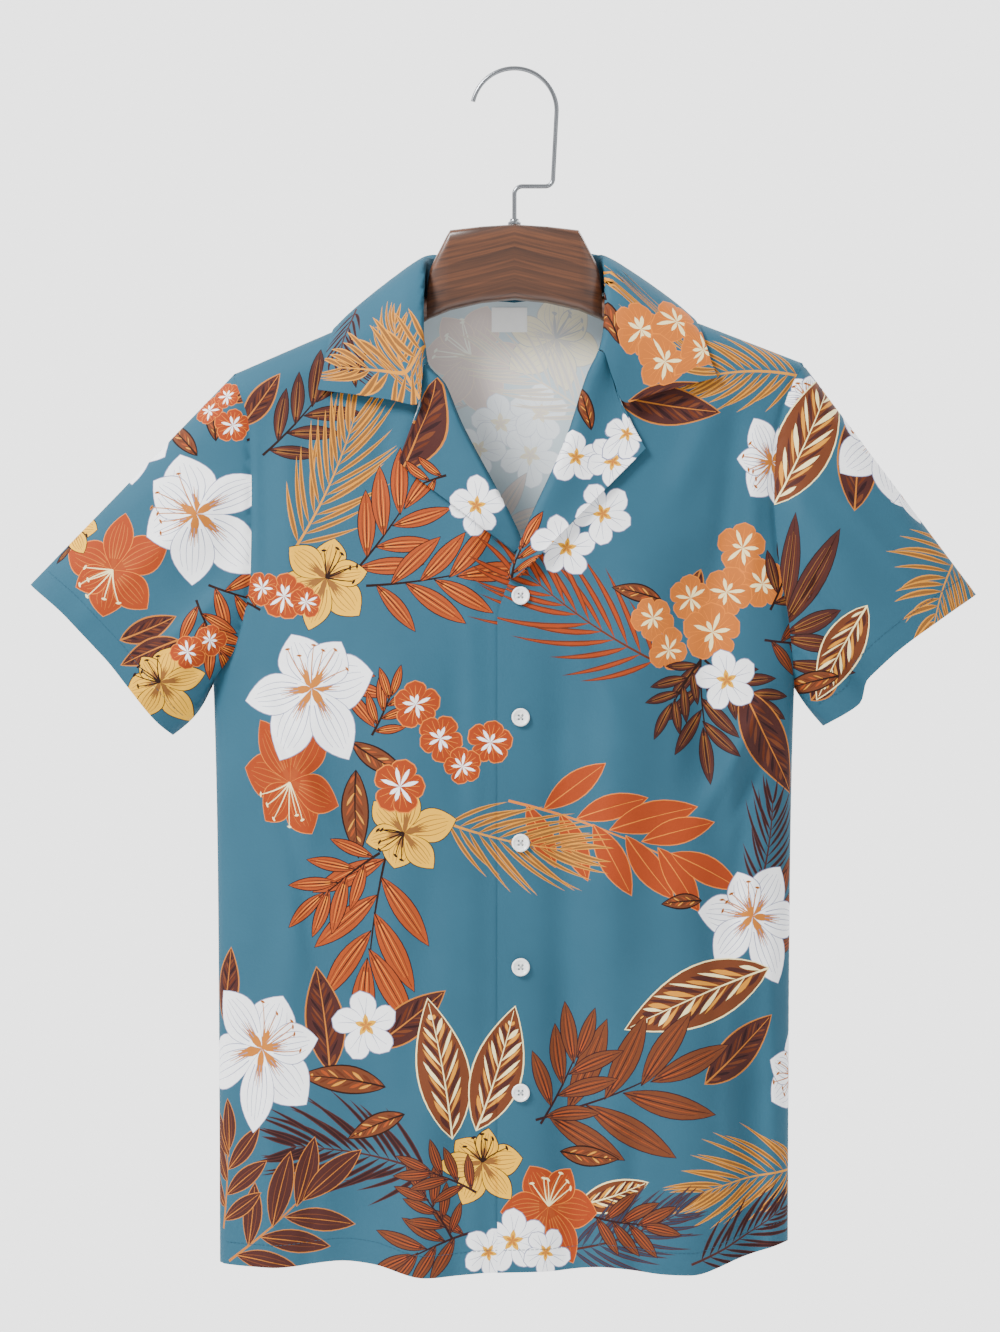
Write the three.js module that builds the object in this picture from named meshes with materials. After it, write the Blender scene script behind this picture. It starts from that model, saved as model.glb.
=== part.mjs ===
// Short-sleeved camp-collar shirt, buttoned and hung on a wide wooden hanger.
// Millimetres, +Z up, the front towards -Y. The origin is the inside top of the hook.
// Left and right in the names are the wearer's: the wearer's right lies at negative X.

import * as THREE from 'three';

// Cloth, seams and the sides they are named by
const CLOTH = 1.4;
const COLLAR_CLOTH = 2.0;
const SEAM = 0.3;
const HALF_SEAM = SEAM / 2;
const LAY_GAP = 0.8;
const LABEL_GAP = 0.4;
const FRONT = -1;
const BACK = 1;
const RIGHT = -1;
const LEFT = 1;

// Body: a flattened tube over the hanger, rounded over a ridge that is the shoulder line
const BODY_CENTRE = -8;
const RIDGE_TOP = -135.5;
const RIDGE_SLOPE = 0.419;
const RIDGE_TILT = 0.0247;
const NECK_EASE = 40;
const RIDGE_RADIUS = 26;
const FULL_DROP = 280;
const FRONT_DEPTH = 45;
const BACK_DEPTH = 40;
const FLANK_POWER = 0.75;
const ARMPIT_Z = { [RIGHT]: -466, [LEFT]: -472 };
const NECK_POINT_X = 72;

// Half the body's width from its centre line, by height
const BODY_WIDTH = [
  { z: -930, half: 217 },
  { z: -790, half: 217.5 },
  { z: -633, half: 218.5 },
  { z: -470, half: 222 },
  { z: -440, half: 226 },
  { z: -400, half: 232 },
  { z: -324, half: 245 },
  { z: -225, half: 262 },
];

// Armhole seams: where they cross the front, by their share of the height from armpit to shoulder
const ARMHOLE = {
  [RIGHT]: [
    { share: 0, x: -230 },
    { share: 0.104, x: -212.8 },
    { share: 0.363, x: -200.6 },
    { share: 0.607, x: -200 },
    { share: 0.82, x: -202 },
    { share: 1, x: -214.5 },
  ],
  [LEFT]: [
    { share: 0, x: 214 },
    { share: 0.206, x: 209 },
    { share: 0.368, x: 202 },
    { share: 0.607, x: 197.6 },
    { share: 0.778, x: 200.6 },
    { share: 0.9, x: 208.2 },
    { share: 1, x: 220.4 },
  ],
};

// Hems, from the right side seam to the left
const FRONT_HEM = [
  { x: -226, z: -910.5 },
  { x: -182, z: -912 },
  { x: -130, z: -906.5 },
  { x: -108, z: -908.5 },
  { x: -68, z: -918 },
  { x: -20, z: -914.5 },
  { x: 27, z: -913.5 },
  { x: 66, z: -910.3 },
  { x: 117, z: -916 },
  { x: 134, z: -916.5 },
  { x: 166, z: -906.7 },
  { x: 210, z: -893 },
];
const BACK_HEM = [
  { x: -226, z: -910.5 },
  { x: -150, z: -903 },
  { x: -60, z: -909 },
  { x: 40, z: -903 },
  { x: 130, z: -907 },
  { x: 210, z: -893 },
];

// Largest folds: each runs from its top to its foot, and rise is how far it stands out
const FOLDS = [
  { face: FRONT, topX: 158, topZ: -300, footX: 118, footZ: -640, width: 26, rise: -5 },
  { face: FRONT, topX: 96, topZ: -330, footX: 78, footZ: -700, width: 24, rise: 3 },
  { face: FRONT, topX: 128, topZ: -640, footX: 136, footZ: -990, width: 34, rise: 6 },
  { face: FRONT, topX: 178, topZ: -680, footX: 176, footZ: -990, width: 20, rise: -6 },
  { face: FRONT, topX: -112, topZ: -740, footX: -132, footZ: -990, width: 34, rise: -6 },
  { face: FRONT, topX: -84, topZ: -700, footX: -66, footZ: -990, width: 26, rise: 6 },
  { face: FRONT, topX: -98, topZ: -380, footX: -62, footZ: -740, width: 36, rise: 3 },
  { face: FRONT, topX: -205, topZ: -440, footX: -140, footZ: -620, width: 16, rise: 3.5 },
  { face: FRONT, topX: 190, topZ: -440, footX: 150, footZ: -600, width: 15, rise: 3 },
  { face: FRONT, topX: 40, topZ: -620, footX: 52, footZ: -990, width: 24, rise: -3 },
  { face: BACK, topX: -92, topZ: -300, footX: -70, footZ: -990, width: 30, rise: 5 },
  { face: BACK, topX: -150, topZ: -420, footX: -132, footZ: -990, width: 24, rise: -5 },
  { face: BACK, topX: 30, topZ: -380, footX: 8, footZ: -990, width: 26, rise: -4 },
  { face: BACK, topX: 100, topZ: -300, footX: 84, footZ: -990, width: 28, rise: 5 },
  { face: BACK, topX: 160, topZ: -460, footX: 142, footZ: -990, width: 22, rise: -5 },
];
const FOLD_FADE = 110;

// Front edges: where each front is cut or starts to roll, the roll's radius and the way it faces
const FRONT_EDGE = {
  [RIGHT]: [
    { z: -940, x: 22, roll: 0, outX: 1, outZ: 0 },
    { z: -396, x: 22, roll: 0, outX: 1, outZ: 0 },
    { z: -363.2, x: 6.4, roll: 1.7, outX: 0.88, outZ: 0.47 },
    { z: -321.5, x: -17.2, roll: 3, outX: 0.88, outZ: 0.47 },
    { z: -271.6, x: -44.1, roll: 3.5, outX: 0.88, outZ: 0.47 },
    { z: -242.9, x: -56.2, roll: 3.5, outX: 0.85, outZ: 0.53 },
    { z: -227.5, x: -69.2, roll: 3.5, outX: 0.9, outZ: 0.43 },
    { z: -210, x: -71.3, roll: 3, outX: 1, outZ: 0.1 },
    { z: -194, x: -72.2, roll: 1.5, outX: 1, outZ: 0 },
    { z: -165, x: -72, roll: 0, outX: 1, outZ: 0 },
  ],
  [LEFT]: [
    { z: -940, x: -13, roll: 0, outX: -1, outZ: 0 },
    { z: -420, x: -13, roll: 0, outX: -1, outZ: 0 },
    { z: -401, x: -8.2, roll: 1.5, outX: -0.95, outZ: 0.3 },
    { z: -389, x: -2.7, roll: 2.8, outX: -0.93, outZ: 0.36 },
    { z: -376.4, x: 3.8, roll: 4.2, outX: -0.93, outZ: 0.37 },
    { z: -349.8, x: 14, roll: 4.2, outX: -0.91, outZ: 0.41 },
    { z: -282, x: 43.9, roll: 4, outX: -0.91, outZ: 0.41 },
    { z: -233.7, x: 59.5, roll: 3.5, outX: -0.95, outZ: 0.32 },
    { z: -217, x: 67.5, roll: 3.5, outX: -0.95, outZ: 0.3 },
    { z: -203, x: 70.4, roll: 3, outX: -1, outZ: 0.1 },
    { z: -190, x: 71.6, roll: 1.5, outX: -1, outZ: 0 },
    { z: -160, x: 72, roll: 0, outX: -1, outZ: 0 },
  ],
};

// The right front passes under the left one: how far back it steps, and where
const UNDERLAP_FROM = -36;
const UNDERLAP_RAMP = 18;
const UNDERLAP_STEP = CLOTH + 0.6;
const LAPEL_POCKET = 5.4;
const LAPEL_POCKET_FROM = -34;
const LAPEL_POCKET_RAMP = 26;
const LAPEL_POCKET_MIDDLE = -376;
const LAPEL_POCKET_REACH = 46;

// Lapels: the turned leaf's outer edge against the height of its roll, and how far it stays lifted
const LAPELS = {
  [RIGHT]: [
    { z: -363.2, edgeX: 0, edgeZ: -368.6, lifted: 8 },
    { z: -321.5, edgeX: -40, edgeZ: -338.4, lifted: 13 },
    { z: -271.6, edgeX: -79, edgeZ: -309, lifted: 14 },
    { z: -250, edgeX: -88, edgeZ: -300, lifted: 14 },
    { z: -227.5, edgeX: -71.2, edgeZ: -257.5, lifted: 12 },
  ],
  [LEFT]: [
    { z: -389, edgeX: 4.2, edgeZ: -386.6, lifted: 30 },
    { z: -376.4, edgeX: 16.5, edgeZ: -374, lifted: 28 },
    { z: -349.8, edgeX: 38, edgeZ: -352.2, lifted: 24 },
    { z: -282, edgeX: 76.8, edgeZ: -313, lifted: 16 },
    { z: -262, edgeX: 99.6, edgeZ: -290.3, lifted: 14 },
    { z: -217, edgeX: 80.6, edgeZ: -256.5, lifted: 12 },
  ],
};

// Collar on each side: station 0 at the gorge, 1 at the shoulder seam, 2 at the centre back.
// The roll is the fold's top; the edge is given across the body and along its ridge arc.
const COLLAR = {
  [RIGHT]: [
    { station: 0, rollX: -69.2, rollY: -36.5, rollZ: -227, edgeX: -149, edgeArc: -56.5 },
    { station: 0.32, rollX: -70.4, rollY: -35, rollZ: -205, edgeX: -145.5, edgeArc: -44 },
    { station: 0.6, rollX: -70, rollY: -29, rollZ: -179, edgeX: -142, edgeArc: -30 },
    { station: 0.84, rollX: -69.3, rollY: -17, rollZ: -156, edgeX: -138.5, edgeArc: -15 },
    { station: 1, rollX: -68.4, rollY: -3, rollZ: -145.5, edgeX: -135, edgeArc: 0 },
    { station: 1.08, rollX: -65, rollY: 13, rollZ: -141, edgeX: -124, edgeArc: 22 },
    { station: 1.28, rollX: -50, rollY: 27, rollZ: -138.5, edgeX: -97, edgeArc: 48 },
    { station: 1.62, rollX: -25, rollY: 33.5, rollZ: -137.5, edgeX: -50, edgeArc: 67 },
    { station: 2, rollX: 0, rollY: 35.5, rollZ: -137, edgeX: 0, edgeArc: 73 },
  ],
  [LEFT]: [
    { station: 0, rollX: 67.5, rollY: -36.5, rollZ: -216.5, edgeX: 153.5, edgeArc: -53.1 },
    { station: 0.32, rollX: 69.6, rollY: -34, rollZ: -197, edgeX: 148, edgeArc: -40 },
    { station: 0.6, rollX: 69.8, rollY: -28, rollZ: -174, edgeX: 143, edgeArc: -27 },
    { station: 0.84, rollX: 69.3, rollY: -16, rollZ: -154, edgeX: 138.5, edgeArc: -13 },
    { station: 1, rollX: 68.4, rollY: -3, rollZ: -144.5, edgeX: 134.5, edgeArc: 0 },
    { station: 1.08, rollX: 65, rollY: 13, rollZ: -140.5, edgeX: 124, edgeArc: 22 },
    { station: 1.28, rollX: 50, rollY: 27, rollZ: -138, edgeX: 97, edgeArc: 48 },
    { station: 1.62, rollX: 25, rollY: 33.5, rollZ: -137.3, edgeX: 50, edgeArc: 67 },
    { station: 2, rollX: 0, rollY: 35.5, rollZ: -137, edgeX: 0, edgeArc: 73 },
  ],
};
const NOTCH = { [RIGHT]: { x: -71.2, z: -257.5 }, [LEFT]: { x: 80.6, z: -256.5 } };
const NOTCH_SHARE = 0.28;
const COLLAR_FALL = 0.8;
const COLLAR_ROLL_EASE = 0.35;
const GORGE_SHARE = { [RIGHT]: 0.8112, [LEFT]: 0.8388 };

// Back neck seam: its arc behind the ridge, by distance from the centre
const BACK_NECK = [
  { out: 0, arc: 38.5 },
  { out: 28, arc: 33.2 },
  { out: 56, arc: 22 },
  { out: 67, arc: 12 },
  { out: 72, arc: 0 },
];

// Sleeves: cuff corners, and the cuff edge's waves outwards along the sleeve
const CUFF = {
  [RIGHT]: { outerX: -370, outerZ: -393, innerX: -261, innerZ: -508, depth: 21, underSag: 5 },
  [LEFT]: { outerX: 353, outerZ: -400.5, innerX: 236, innerZ: -501, depth: 22, underSag: 1 },
};
const CUFF_WAVE = {
  [RIGHT]: [
    { share: 0, out: 0 },
    { share: 0.1, out: 1.6 },
    { share: 0.3, out: -1 },
    { share: 0.5, out: -3.5 },
    { share: 0.75, out: -3.6 },
    { share: 1, out: 0 },
  ],
  [LEFT]: [
    { share: 0, out: 0 },
    { share: 0.2, out: 4.6 },
    { share: 0.32, out: -5.5 },
    { share: 0.5, out: -7 },
    { share: 0.8, out: -3.6 },
    { share: 1, out: 0 },
  ],
};
const SLEEVE_FULLNESS = 5;
const CUFF_ROUND = 2.6;

// Sleeve folds run along the sleeve at a share of its width, strongest at the run given
const SLEEVE_FOLDS = [
  { arm: RIGHT, face: FRONT, share: 0.24, width: 0.09, run: 0.35, rise: 4 },
  { arm: RIGHT, face: FRONT, share: 0.5, width: 0.12, run: 0.8, rise: -3 },
  { arm: LEFT, face: FRONT, share: 0.3, width: 0.07, run: 0.15, rise: -5 },
  { arm: LEFT, face: FRONT, share: 0.62, width: 0.12, run: 0.75, rise: 4 },
  { arm: RIGHT, face: BACK, share: 0.35, width: 0.1, run: 0.4, rise: 4 },
  { arm: LEFT, face: BACK, share: 0.4, width: 0.1, run: 0.4, rise: 4 },
];

// Buttons, down the left front
const BUTTON_X = 4.6;
const BUTTON_Z = [-402, -494, -589, -683, -778];
const BUTTON_RADIUS = 6.9;
const BUTTON_THICK = 2.3;
const BUTTON_SIDES = 20;

// Neck label, on the inside of the back
const LABEL = { fromX: -17.5, toX: 9.9, top: -179.5, foot: -198, thick: 1 };

// Hanger: a peaked head between sloping arms, all in one board of wood
const HEAD = [
  { x: 0, top: -118, foot: -175, half: 13, square: 7 },
  { x: 25, top: -119.6, foot: -177.5, half: 13, square: 7 },
  { x: 49, top: -122.4, foot: -183, half: 13, square: 7 },
  { x: 51.5, top: -126.5, foot: -184, half: 13, square: 7 },
  { x: 57.5, top: -138.3, foot: -186.5, half: 12, square: 7 },
  { x: 62, top: -146.5, foot: -188.5, half: 11, square: 6 },
  { x: 64.6, top: -153, foot: -189.5, half: 10, square: 5 },
  { x: 66.2, top: -162, foot: -190.5, half: 9, square: 4 },
  { x: 66.9, top: -172, foot: -191, half: 8.5, square: 3 },
];
const ARM = [
  { x: 70, foot: -193, half: 9.5, square: 2.3 },
  { x: 84, foot: -200, half: 15, square: 2 },
  { x: 104, foot: -210, half: 16.5, square: 2 },
  { x: 126, foot: -221, half: 16.5, square: 2 },
  { x: 148, foot: -232, half: 16, square: 2 },
  { x: 170, foot: -243, half: 14.5, square: 2 },
  { x: 190, foot: -252, half: 12.5, square: 2 },
  { x: 204, foot: -256, half: 11, square: 2 },
  { x: 207.5, foot: -252, half: 8, square: 2 },
];
const ARM_CLEARANCE = 0.5;
const ARM_ROOT_CLEARANCE = 1.6;
const ARM_ROOT_X = 80;
const ARM_END_ROUND = { x: 207.5, lower: 5 };
const HANGER_SIDES = 16;

// Hook: a round wire with a crank above the head, held by a small turned collar
const WIRE_RADIUS = 1.75;
const HOOK_RADIUS = 32.3;
const HOOK_TIP_ANGLE = THREE.MathUtils.degToRad(168);
const SHANK_X = 29.6;
const CRANK_Z = -88.5;
const CRANK_BEND = 6;
const SHANK_FOOT = -117.4;
const HOOK_STEPS = 64;
const WIRE_SIDES = 4;
const COLLAR_RING = { bore: 2.15, radius: 5, neck: 3.4, flange: 1.8, height: 4.4, sides: 16 };

// Shares of the height from armpit to shoulder, closer where the shoulder rounds over
const UPPER_ROWS = [
  0.02, 0.06, 0.13, 0.22, 0.33, 0.44, 0.55, 0.66, 0.75, 0.8112, 0.8388, 0.9015, 0.94, 0.971, 0.989,
  0.9972, 1,
];
const LOWER_ROWS = 9;

const { clamp, lerp, smoothstep } = THREE.MathUtils;

/** A smooth function through a column of a table, without overshoot between its rows. */
function follow(rows, key, column) {
  const last = rows.length - 1;
  const rise = (i) => (rows[i + 1][column] - rows[i][column]) / (rows[i + 1][key] - rows[i][key]);
  const slopeAt = (i) => {
    if (i === 0) return rise(0);
    if (i === last) return rise(last - 1);
    const product = rise(i - 1) * rise(i);
    return product > 0 ? (2 * product) / (rise(i - 1) + rise(i)) : 0;
  };
  const slopes = rows.map((row, i) => slopeAt(i));
  return (position) => {
    const sought = clamp(position, rows[0][key], rows[last][key]);
    let i = 0;
    while (i < last - 1 && sought > rows[i + 1][key]) i += 1;
    const span = rows[i + 1][key] - rows[i][key];
    const t = (sought - rows[i][key]) / span;
    const from = (1 + 2 * t) * (1 - t) ** 2 * rows[i][column];
    const to = t * t * (3 - 2 * t) * rows[i + 1][column];
    return from + to + span * t * (1 - t) * (slopes[i] * (1 - t) - slopes[i + 1] * t);
  };
}

/** Straight lines through a column of a table, for outlines with corners. */
function cornered(rows, key, column) {
  return (position) => {
    const sought = clamp(position, rows[0][key], rows[rows.length - 1][key]);
    let i = 0;
    while (i < rows.length - 2 && sought > rows[i + 1][key]) i += 1;
    const share = (sought - rows[i][key]) / (rows[i + 1][key] - rows[i][key]);
    return lerp(rows[i][column], rows[i + 1][column], share);
  };
}

const bothSides = (make) => ({ [RIGHT]: make(RIGHT), [LEFT]: make(LEFT) });
const bodyHalf = follow(BODY_WIDTH, 'z', 'half');
const armholeX = bothSides((side) => follow(ARMHOLE[side], 'share', 'x'));
const hemZ = { [FRONT]: follow(FRONT_HEM, 'x', 'z'), [BACK]: follow(BACK_HEM, 'x', 'z') };
const edgeX = bothSides((side) => follow(FRONT_EDGE[side], 'z', 'x'));
const edgeRoll = bothSides((side) => follow(FRONT_EDGE[side], 'z', 'roll'));
const edgeOutX = bothSides((side) => follow(FRONT_EDGE[side], 'z', 'outX'));
const edgeOutZ = bothSides((side) => follow(FRONT_EDGE[side], 'z', 'outZ'));
const cuffWave = bothSides((side) => follow(CUFF_WAVE[side], 'share', 'out'));
const backNeckArc = follow(BACK_NECK, 'out', 'arc');

/** Height of the shoulder ridge, which runs on as a low arch across the neck opening. */
function ridgeZ(x) {
  return RIDGE_TOP - (RIDGE_SLOPE - RIDGE_TILT * Math.tanh(x / NECK_EASE)) * Math.hypot(x, NECK_EASE);
}

const QUARTER_ARC = (RIDGE_RADIUS * Math.PI) / 2;
const NECK_Z = bothSides((side) => ridgeZ(side * NECK_POINT_X));

/** Drop below the ridge after going some way along the cloth from it. */
function dropOfArc(arc) {
  const length = Math.abs(arc);
  if (length > QUARTER_ARC) return RIDGE_RADIUS + length - QUARTER_ARC;
  return RIDGE_RADIUS * (1 - Math.cos(length / RIDGE_RADIUS));
}

/** Way along the cloth from the ridge to some drop below it. */
function arcOfDrop(drop) {
  if (drop > RIDGE_RADIUS) return QUARTER_ARC + drop - RIDGE_RADIUS;
  return RIDGE_RADIUS * Math.acos(1 - Math.max(drop, 0) / RIDGE_RADIUS);
}

/** How far the folds stand out from the smooth body. */
function foldRise(face, x, z) {
  let rise = 0;
  for (const fold of FOLDS) {
    if (fold.face !== face) continue;
    const run = (z - fold.topZ) / (fold.footZ - fold.topZ);
    const across = (x - lerp(fold.topX, fold.footX, run)) / fold.width;
    const start = smoothstep(fold.topZ - z, 0, FOLD_FADE);
    const end = smoothstep(z - fold.footZ, 0, FOLD_FADE);
    rise += fold.rise * Math.exp(-across * across) * start * end;
  }
  return rise;
}

/** Point of the body's outside: angle goes round it from side to side, arc over the ridge. */
function bodyAt(angle, arc) {
  const face = arc < 0 ? FRONT : BACK;
  const drop = dropOfArc(arc);
  const sine = Math.sin(angle);
  let z = -300;
  let x = 0;
  for (let pass = 0; pass < 6; pass += 1) {
    x = BODY_CENTRE + bodyHalf(z) * sine;
    z = ridgeZ(x) - drop;
  }
  const fullDepth = face === FRONT ? FRONT_DEPTH : BACK_DEPTH;
  const depth = lerp(RIDGE_RADIUS, fullDepth, smoothstep(drop, 0, FULL_DROP));
  const flank = Math.max(Math.cos(angle), 0) ** FLANK_POWER;
  const crown = Math.abs(arc) > QUARTER_ARC ? 1 : Math.sin(Math.abs(arc) / RIDGE_RADIUS);
  const folds = foldRise(face, x, z) * smoothstep(flank, 0.1, 0.6);
  return new THREE.Vector3(x, face * (depth * flank * crown + folds), z);
}

const PROBE = 1e-4;

/** Outward direction of the body's outside. */
function bodyNormal(angle, arc) {
  const across = bodyAt(angle + PROBE, arc).sub(bodyAt(angle - PROBE, arc));
  const along = bodyAt(angle, arc + 0.02).sub(bodyAt(angle, arc - 0.02));
  return across.cross(along).normalize();
}

/** Angle round the body of a place given by its distance across and its height. */
function angleOf(x, z) {
  return Math.asin(clamp((x - BODY_CENTRE) / bodyHalf(z), -1, 1));
}

/** Body point and outward direction for a place on one face, across and up. */
function onBody(face, x, z) {
  const angle = angleOf(x, z);
  const arc = face * arcOfDrop(ridgeZ(x) - z);
  return { point: bodyAt(angle, arc), normal: bodyNormal(angle, arc) };
}

/** Keeps the two faces of the cloth half a seam away from the middle plane between them. */
function partFromMiddle(face, ...points) {
  for (const point of points) point.y = face * Math.max(face * point.y, HALF_SEAM);
}

/** A closed cloth wall: a slab whose outside and inside are carried to where place puts them. */
function clothWall(columns, rows, place) {
  const geometry = new THREE.BoxGeometry(1, 1, 1, columns.length - 1, rows.length - 1, 1);
  const position = geometry.attributes.position;
  const known = new Map();
  for (let i = 0; i < position.count; i += 1) {
    const column = Math.round((position.getX(i) + 0.5) * (columns.length - 1));
    const row = Math.round((position.getY(i) + 0.5) * (rows.length - 1));
    const key = `${column} ${row}`;
    if (!known.has(key)) known.set(key, place(columns[column], rows[row]));
    const pair = known.get(key);
    const point = position.getZ(i) > 0 ? pair.outside : pair.inside;
    position.setXYZ(i, point.x, point.y, point.z);
  }
  crossInsideAsOutside(geometry);
  geometry.computeVertexNormals();
  return geometry;
}

/** Splits the inside's quads along the same diagonals as the outside's, so the wall stays even. */
function crossInsideAsOutside(geometry) {
  const index = geometry.index;
  const inside = geometry.groups[5];
  for (let i = inside.start; i < inside.start + inside.count; i += 6) {
    const [a, b, d, c] = [index.getX(i), index.getX(i + 1), index.getX(i + 2), index.getX(i + 4)];
    [a, b, c, a, c, d].forEach((vertex, step) => index.setX(i + step, vertex));
  }
}

/** Share values from 0 to 1 in equal steps. */
function evenly(count) {
  return Array.from({ length: count + 1 }, (unused, i) => i / count);
}

/** Height of a place on a panel, between the armpit level and the panel's top. */
function heightAt(side, share, top) {
  return lerp(ARMPIT_Z[side], top, share);
}

/** Outer cuff edge point of a sleeve on one face; share runs from the inner corner up. */
function cuffPoint(side, face, share) {
  const cuff = CUFF[side];
  const round = Math.sqrt(Math.max(1 - Math.abs(2 * share - 1) ** CUFF_ROUND, 0));
  const along = new THREE.Vector3(cuff.outerX - cuff.innerX, 0, cuff.outerZ - cuff.innerZ).normalize();
  const out = new THREE.Vector3(side * Math.abs(along.z), 0, -Math.abs(along.x));
  const point = new THREE.Vector3(
    lerp(cuff.innerX, cuff.outerX, share),
    face * cuff.depth * round,
    lerp(cuff.innerZ, cuff.outerZ, share),
  );
  return point.addScaledVector(out, cuffWave[side](share));
}

/** Place of the armhole seam on the body, the same on both faces. */
function armholePlace(side, share) {
  const z = heightAt(side, share, ridgeZ(armholeX[side](1)));
  const x = armholeX[side](share);
  return { angle: share === 0 ? (side * Math.PI) / 2 : angleOf(x, z), z };
}

/** Point of the armhole seam, and the body's outward direction there. */
function armholeOnBody(side, face, share) {
  const { angle, z } = armholePlace(side, share);
  const x = BODY_CENTRE + bodyHalf(z) * Math.sin(angle);
  const arc = face * arcOfDrop(ridgeZ(x) - z);
  return { point: bodyAt(angle, arc), normal: bodyNormal(angle, arc) };
}

/** Point of a sleeve's outside: run goes from the cuff, 0, to the armhole seam, 1. */
function sleeveAt(side, face, share, run) {
  const cuff = cuffPoint(side, face, share);
  const point = cuff.lerp(armholeOnBody(side, face, share).point, run);
  const swell = Math.sin(Math.PI * clamp(run, 0, 1));
  let rise = SLEEVE_FULLNESS * swell * Math.sin(Math.PI * clamp(share, 0, 1));
  for (const fold of SLEEVE_FOLDS) {
    if (fold.arm !== side || fold.face !== face) continue;
    const across = (share - fold.share) / fold.width;
    const along = (run - fold.run) / 0.45;
    rise += fold.rise * Math.exp(-across * across - along * along) * smoothstep(1 - run, 0, 0.2);
  }
  point.y += face * rise;
  const sag = CUFF[side].underSag * swell * Math.max(1 - share, 0) ** 6;
  point.x -= side * 0.8 * sag;
  point.z -= 0.6 * sag;
  return point;
}

/** Outward direction of a sleeve's outside. */
function sleeveNormal(side, face, share, run) {
  const low = Math.max(share - 0.002, 0);
  const high = Math.min(share + 0.002, 1);
  const up = sleeveAt(side, face, high, run).sub(sleeveAt(side, face, low, run));
  const along = sleeveAt(side, face, share, run + 0.01).sub(sleeveAt(side, face, share, run - 0.01));
  return up.cross(along).multiplyScalar(-side * face).normalize();
}

/** Armhole seam line, outside and inside, shared by the panel and the sleeve that meet there. */
function armholeSeam(side, face, share) {
  const body = armholeOnBody(side, face, share);
  const between = sleeveNormal(side, face, share, 1).add(body.normal).normalize();
  return { outside: body.point, inside: body.point.clone().addScaledVector(between, -CLOTH) };
}

/** The armhole edge of a panel, half a seam towards the body, or of a sleeve, away from it. */
function armholeEdge(side, face, share, towardsBody) {
  const seam = armholeSeam(side, face, share);
  const away = HALF_SEAM * (1 + 2 * Math.max(1 - share / 0.1, 0));
  const shift = towardsBody ? -side * away : side * away;
  seam.outside.x += shift;
  seam.inside.x += shift;
  return seam;
}

/** How far the right front steps back under the left one and under its own lapel's foot. */
function underlap(x, z) {
  const step = UNDERLAP_STEP * smoothstep(x, UNDERLAP_FROM, UNDERLAP_FROM + UNDERLAP_RAMP);
  const away = Math.abs(z - LAPEL_POCKET_MIDDLE) / LAPEL_POCKET_REACH;
  const reach = smoothstep(x, LAPEL_POCKET_FROM, LAPEL_POCKET_FROM + LAPEL_POCKET_RAMP);
  const below = smoothstep(-z, 330, 362);
  return step * below + LAPEL_POCKET * reach * (1 - smoothstep(away, 0.2, 1));
}

/** Outside of a front panel, with the right front's step back. */
function onFront(side, x, z) {
  const place = onBody(FRONT, x, z);
  if (side === RIGHT) place.point.y += underlap(x, z);
  return place;
}

/** Height of a front's cut edge at a share of the way from the armpit to the neck point. */
function frontEdgeZ(side, share) {
  return heightAt(side, share, NECK_Z[side]);
}

/** A place on a front panel: inward runs from the side seam and armhole to the front edge. */
function frontPlace(side, inward, height) {
  const upper = height >= 0;
  const share = Math.max(height, 0);
  const z = frontEdgeZ(side, share);
  const edgeAngle = angleOf(edgeX[side](z), z);
  const outerAngle = armholePlace(side, share).angle;
  const angle = lerp(outerAngle, edgeAngle, inward);
  if (upper) {
    const tipAngle = armholePlace(side, 1).angle;
    const neckAngle = angleOf(side * NECK_POINT_X, NECK_Z[side]);
    const topX = BODY_CENTRE + bodyHalf(NECK_Z[side]) * Math.sin(lerp(tipAngle, neckAngle, inward));
    const placeZ = heightAt(side, share, ridgeZ(topX));
    return { x: BODY_CENTRE + bodyHalf(placeZ) * Math.sin(angle), z: placeZ };
  }
  const roughX = BODY_CENTRE + bodyHalf(ARMPIT_Z[side]) * Math.sin(angle);
  const placeZ = lerp(ARMPIT_Z[side], hemZ[FRONT](roughX), -height);
  const lowEdge = angleOf(edgeX[side](placeZ), placeZ);
  const lowAngle = lerp((side * Math.PI) / 2, lowEdge, inward);
  return { x: BODY_CENTRE + bodyHalf(placeZ) * Math.sin(lowAngle), z: placeZ };
}

/** Heights of a panel's rows: -1 at the hem, 0 at the armpit, 1 at the shoulder. */
function panelRows() {
  return [...evenly(LOWER_ROWS).map((share) => share - 1), ...UPPER_ROWS];
}

/** One front, from its side seam and armhole to its edge. */
function frontPanel(side) {
  const inward = [0, 0.035, 0.1, 0.18, 0.27, 0.36, 0.45, 0.54, 0.63, 0.72, 0.8, 0.85, 0.895, 0.945, 1];
  const columns = side === RIGHT ? inward : inward.reverse();
  return clothWall(columns, panelRows(), (share, height) => {
    if (share === 0 && height >= 0) {
      const edge = armholeEdge(side, FRONT, height, true);
      partFromMiddle(FRONT, edge.outside, edge.inside);
      return edge;
    }
    const place = frontPlace(side, share, height);
    const { point, normal } = onFront(side, place.x, place.z);
    if (share === 0) normal.set(side, 0, 0);
    return clothFrom(FRONT, point, normal);
  });
}

/** Both faces of the cloth from a point of its outside, kept off the seam's middle plane. */
function clothFrom(face, point, normal) {
  const inside = point.clone().addScaledVector(normal, -CLOTH);
  partFromMiddle(face, point, inside);
  return { outside: point, inside };
}

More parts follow.
